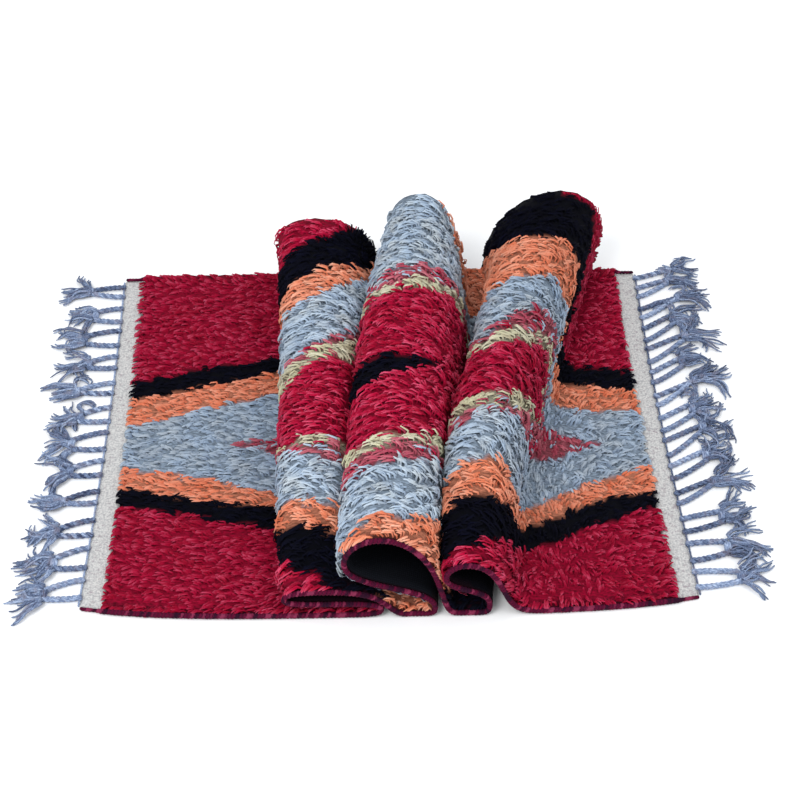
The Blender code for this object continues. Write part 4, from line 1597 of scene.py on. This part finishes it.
@dataclass
class Fringe:
    """Knotted fringe of one end: two-ply cords, a knot for each pair, and curling locks of loose yarn.

    Lengths are in metres and angles in radians. Cord steps are the radians that each cord moves on the
    sine of its root, its length and its knot.
    """

    form: RugForm
    name: str
    node: str
    side: float
    cords: int
    reach: float
    drifts: Profile
    seed: int = 40
    tone_seed: int = 5
    cord_steps: tuple[float, float, float] = (2.4, 1.7, 2.9)
    cord_diameter: float = 0.0098
    pair_spread: float = 0.0072
    root_wander: float = 0.12
    length_wander: float = 0.10
    drift_power: float = 1.1
    drawn: Profile = Profile((0.0, 0.12, 0.34, 0.50, 0.56, 0.64, 0.82, 1.00),
                             (0.0, 0.02, 0.45, 0.98, 1.00, 0.98, 0.65, 0.35))
    ply_radius: float = 0.0031
    ply_start: float = 0.05
    ply_shift: float = 1.9
    ply_rings: int = 30
    ply_sides: int = 5
    twist_pitch: float = 0.0150
    knot_share: float = 0.53
    knot_wander: float = 0.06
    knot_setback: float = 0.01
    knot_turns: float = 2.6
    knot_shift: float = 0.7
    knot_width: float = 0.0085
    knot_half_across: float = 0.0064
    knot_middle: float = 0.0058
    knot_half_height: float = 0.0034
    knot_yarn: float = 0.0026
    knot_rings: int = 30
    knot_sides: int = 6
    locks: int = 3
    lock_yarns: int = 5
    lock_fan: float = 0.55
    lock_turn: float = 0.22
    lock_bend: float = 1.5
    bend_power: float = 1.5
    lock_spread: tuple[float, float] = (0.70, 1.12)
    lock_half_width: float = 0.0050
    lock_lift: tuple[float, float] = (0.0006, 0.0062)
    usual_reach: float = 0.098
    reach_power: float = 0.6
    yarn_turn: float = 0.07
    yarn_bend: float = 0.22
    yarn_wave: float = 0.28
    yarn_waves: float = 9.0
    yarn_spread: tuple[float, float] = (0.88, 1.08)
    yarn_lift: float = 0.0016
    loose_rings: int = 10
    loose_sides: int = 3
    loose_length: float = 0.052
    loose_radius: float = 0.0019
    loose_setback: float = 0.004
    loose_rise: float = 0.0040
    loose_taper: float = 0.45
    loose_slope: float = 0.7
    radius_spread: tuple[float, float] = (0.85, 1.25)
    furthest_back: float = 0.443
    strip_width: float = 0.004
    strip_inset: float = 0.003
    strip_rings: int = 240
    strip_pitch: float = 0.009
    strip_yarn: float = 0.0011
    strip_half_across: float = 0.0008
    strip_half_height: float = 0.0006
    strip_middle: float = 0.0017
    fibre_stretch: float = 9.0
    fibre_shift: float = 53.0

    def __post_init__(self) -> None:
        """Works out the cords' roots, lengths, knots and the way to each one's mate."""
        number = np.arange(self.cords)
        pitch = self.form.width / self.cords
        root_step, length_step, knot_step = self.cord_steps
        wander = self.root_wander * np.sin(root_step * number)
        self.root = pitch * (number + 0.5 + wander) - self.form.width / 2
        mate = np.where(number % 2 == 0, 1, -1)
        has_mate = number + mate < self.cords
        self.pull = np.where(has_mate, mate * (pitch / 2 - self.pair_spread), 0.0)
        uneven = self.length_wander * np.sin(length_step * number + 0.6)
        self.length = self.reach * (1 - self.length_wander + uneven)
        share = self.root / self.form.width + 0.5
        self.start = self.form.end_x(share) + self.form.clearance + self.strip_width
        self.drift = self.drifts.at(share)
        self.knot_place = self.knot_share + self.knot_wander * np.sin(knot_step * (number // 2))

    def centre_line(self, along: np.ndarray) -> np.ndarray:
        """Line of each cord on the floor: root + drawn x pull + drift x along^power across the rug.

        Args:
            along: Shares along the cords, by cord and place, or one line of places for all.

        Returns:
            Points by cord and place.
        """
        drawn = self.drawn.at(along)
        forward = np.clip(along, 0, None) ** self.drift_power
        y = self.root[:, None] + self.pull[:, None] * drawn + self.drift[:, None] * forward
        x = self.side * (self.start[:, None] + self.length[:, None] * along)
        return np.stack([x - self.form.middle_x, y - self.form.middle_y, np.zeros_like(x)], axis=-1)

    def plies(self) -> TubeArrays:
        """Two plies a cord, each on a helix of its own radius about the cord's line.

        Returns:
            The plies.
        """
        shares = np.linspace(0, 1, self.ply_rings)[None]
        along = -self.ply_start + (self.knot_place[:, None] + self.ply_start) * shares
        line = self.centre_line(along)
        heading = unit(np.gradient(line, axis=1))
        across = np.stack([-heading[..., 1], heading[..., 0], np.zeros(heading.shape[:2])], axis=-1)
        turn = math.tau * along * self.length[:, None] / self.twist_pitch
        turn = turn + np.arange(self.cords)[:, None] * self.ply_shift
        orbit = self.cord_diameter / 2 - self.ply_radius
        parts = []
        for start in PLY_STARTS:
            centre = line + across * (orbit * np.cos(turn + start))[..., None]
            centre[..., 2] += self.cord_diameter / 2 + orbit * np.sin(turn + start)
            parts.append(sweep_tubes(centre, self.ply_radius, self.ply_sides, UP))
        return join_tubes(parts)

    def knots(self) -> TubeArrays:
        """A knot for each pair: yarn wound round both cords on an upright ellipse that moves along them.

        Returns:
            The knots.
        """
        first = np.arange(0, self.cords - 1, 2)
        share = np.linspace(0, 1, self.knot_rings)
        line = self.centre_line(self.knot_place[:, None] - self.knot_setback)[:, 0]
        middle = 0.5 * (line[first] + line[first + 1])
        turn = math.tau * self.knot_turns * share[None] + first[:, None] * self.knot_shift
        centre = np.zeros((len(first), self.knot_rings, 3))
        centre[..., 0] = middle[:, None, 0] + self.side * (share[None] - 0.5) * self.knot_width
        centre[..., 1] = middle[:, None, 1] + self.knot_half_across * np.cos(turn)
        centre[..., 2] = self.knot_middle + self.knot_half_height * np.sin(turn)
        return sweep_tubes(centre, self.knot_yarn, self.knot_sides, ALONG)

    def loose_ends(self) -> TubeArrays:
        """Locks of loose yarn past the knot; the yarns of a lock run side by side and curl the same way.

        A yarn's heading turns from its first angle by bend x share^power and a small wave, and its place
        is the running sum of short steps along that heading.

        Returns:
            The yarns.
        """
        rng = np.random.default_rng(self.seed + self.cords)
        locks = self.cords * self.locks
        cord = np.repeat(np.repeat(np.arange(self.cords), self.locks), self.lock_yarns)
        share = np.linspace(0, 1, self.loose_rings)[None]
        knot = self.centre_line(self.knot_place[:, None])[:, 0][cord]
        slope = np.arctan2(self.drift, self.length)[cord] * self.loose_slope
        fan = np.tile(np.linspace(-self.lock_fan, self.lock_fan, self.locks), self.cords)
        fan = fan + rng.normal(0, self.lock_turn, locks)
        bend = rng.normal(0, self.lock_bend, locks)
        reach = self.loose_length * rng.uniform(*self.lock_spread, locks)
        reach = reach * (self.reach / self.usual_reach) ** self.reach_power
        by_yarn = np.repeat(np.arange(locks), self.lock_yarns)
        count = len(by_yarn)
        first = (fan[by_yarn] + rng.normal(0, self.yarn_turn, count))[:, None]
        bent = (bend[by_yarn] + rng.normal(0, self.yarn_bend, count))[:, None]
        wave = np.sin(share * self.yarn_waves + rng.uniform(0, math.tau, count)[:, None])
        angle = slope[:, None] + first + bent * share ** self.bend_power + self.yarn_wave * wave
        step = (reach[by_yarn] * rng.uniform(*self.yarn_spread, count) / (self.loose_rings - 1))[:, None]
        ahead = np.cumsum(np.cos(angle), axis=1) * step
        aside = np.cumsum(np.sin(angle), axis=1) * step
        spread = np.tile(np.linspace(-1, 1, self.lock_yarns), locks)[:, None] * self.lock_half_width
        lift = rng.uniform(*self.lock_lift, locks)[by_yarn][:, None]
        arch = np.sin(math.pi * np.clip(share + 0.1, 0, 1))
        centre = np.zeros((count, self.loose_rings, 3))
        centre[..., 0] = knot[:, None, 0] + self.side * (ahead - self.loose_setback)
        centre[..., 1] = np.minimum(knot[:, None, 1] + aside + spread, self.furthest_back)
        centre[..., 2] = (self.loose_radius + self.loose_rise * (1 - share) ** 2 + lift * arch
                          + rng.uniform(0, self.yarn_lift, count)[:, None])
        taper = 1 - self.loose_taper * share[..., None] ** 4
        radii = self.loose_radius * taper * rng.uniform(*self.radius_spread, count)[:, None, None]
        return sweep_tubes(centre, radii, self.loose_sides, UP)

    def strip(self) -> TubeArrays:
        """Twined cord along the heading's outer edge that the fringe hangs from: two yarns on one helix.

        Returns:
            The cord's two yarns.
        """
        form = self.form
        share = np.linspace(self.strip_inset, 1 - self.strip_inset, self.strip_rings)
        x = self.side * (form.end_x(share) + form.clearance + self.strip_width / 2) - form.middle_x
        y = form.width * (share - 0.5) - form.middle_y
        parts = []
        for start in PLY_STARTS:
            turn = share * form.width * math.tau / self.strip_pitch + start
            centre = np.stack([x + self.strip_half_across * np.cos(turn), y,
                               self.strip_middle + self.strip_half_height * np.sin(turn)], axis=-1)
            parts.append(sweep_tubes(centre[None], self.strip_yarn, self.ply_sides, UP))
        return join_tubes(parts)

    def build(self, material: bpy.types.Material) -> bpy.types.Object:
        """The whole fringe of one end as one piece.

        Args:
            material: The yarn's material.

        Returns:
            The piece.
        """
        tubes = join_tubes([self.plies(), self.knots(), self.loose_ends(), self.strip()])
        rng = np.random.default_rng(self.tone_seed)
        tone = rng.random(int(tubes.tube.max()) + 1)[tubes.tube]
        fibre = np.stack([np.cos(tubes.around), np.sin(tubes.around),
                          tubes.along * self.fibre_stretch + tone * self.fibre_shift], axis=1)
        piece = add_mesh(self.name, tubes.on_floor(), tubes.quads, tubes.triangles, {
            "strand_tone": tone, "strand_fibre": fibre})
        piece.data.materials.append(material)
        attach(piece, BODY)
        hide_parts(self.node)
        return piece


@dataclass
class Studio:
    """Pale floor, soft lights and the camera. Angles are in degrees and the lens in millimetres."""

    floor_half: float = 6.0
    floor_height: float = -0.0004
    camera_place: tuple[float, float, float] = (-0.0481, -2.2648, 1.9604)
    camera_pitch: float = 50.0
    camera_yaw: float = -1.506
    lens: float = 85.05
    sensor_width: float = 36.0
    sky_colour: Colour = (0.96, 0.98, 1.0, 1.0)
    sky_strength: float = 1.0

    def floor(self) -> None:
        """Flat floor just under the rug."""
        half = self.floor_half
        corners = np.array([[x, y, self.floor_height] for x, y in ((-half, -half), (half, -half),
                                                                   (half, half), (-half, half))])
        piece = add_mesh("studio_floor", corners, np.array([[0, 1, 2, 3]]))
        piece.data.materials.append(FloorFinish().make())

    def lamp(self, name: str, place: tuple[float, float, float], size: float, power: float) -> None:
        """Square area light that faces the middle of the rug.

        Args:
            name: The lamp's name.
            place: Where it hangs.
            size: Side of the square in metres.
            power: Watts.
        """
        light = bpy.data.lights.new(name, "AREA")
        light.size = size
        light.energy = power
        lamp = bpy.data.objects.new(name, light)
        lamp.location = place
        yaw = math.atan2(place[0], -place[1])
        pitch = math.atan2(math.hypot(place[0], place[1]), place[2])
        lamp.rotation_euler = (pitch, 0.0, yaw)
        bpy.context.scene.collection.objects.link(lamp)

    def build(self) -> None:
        """Floor, sky, lamps and camera."""
        scene = bpy.context.scene
        self.floor()
        world = bpy.data.worlds.new("studio_sky")
        world.use_nodes = True
        sky = world.node_tree.nodes["Background"]
        sky.inputs["Color"].default_value = self.sky_colour
        sky.inputs["Strength"].default_value = self.sky_strength
        scene.world = world
        self.lamp("key", (-1.6, -2.4, 3.4), 1.6, 80.0)
        self.lamp("fill", (1.8, -1.6, 3.0), 2.0, 18.0)
        data = bpy.data.cameras.new("camera")
        data.lens = self.lens
        data.sensor_width = self.sensor_width
        camera = bpy.data.objects.new("camera", data)
        camera.location = self.camera_place
        camera.rotation_euler = (math.radians(self.camera_pitch), 0.0, math.radians(self.camera_yaw))
        scene.collection.objects.link(camera)
        scene.camera = camera
        scene.view_settings.view_transform = "Standard"


def main() -> None:
    """Builds the pieces in order and notes each one."""
    logging.basicConfig(level=logging.INFO, format="%(name)s %(message)s")
    form = RugForm()
    Studio().build()
    ground = Ground(form).build()
    LOG.info("ground: section lengths %.3f to %.3f m", form.lengths.min(), form.lengths.max())
    pile = Pile(form).build()
    edging = Edging(form)
    wrapped = EdgingFinish().make()
    front = edging.build("edging_front", "binding_front", 0.0, -1.0, wrapped)
    back = edging.build("edging_back", "binding_back", 1.0, 1.0, wrapped)
    weave = HeadingFinish().make()
    headings = [Heading(form).build("heading_band_left", "heading_left", -1.0, weave),
                Heading(form).build("heading_band_right", "heading_right", 1.0, weave)]
    yarn = FringeFinish().make()
    left_drifts = Profile((0.0, 0.7, 1.0), (-0.022, -0.014, 0.004))
    right_drifts = Profile((0.0, 0.14, 0.3, 0.8, 1.0), (0.004, 0.022, 0.084, 0.090, 0.046))
    fringes = [Fringe(form, "fringe_cords_left", "fringe_left", -1.0, 24, 0.100, left_drifts).build(yarn),
               Fringe(form, "fringe_cords_right", "fringe_right", 1.0, 27, 0.122, right_drifts).build(yarn)]
    for piece in [ground, *pile, front, back, *headings, *fringes]:
        LOG.info("%s: %d faces", piece.name, len(piece.data.polygons))


if __name__ == "__main__":
    main()
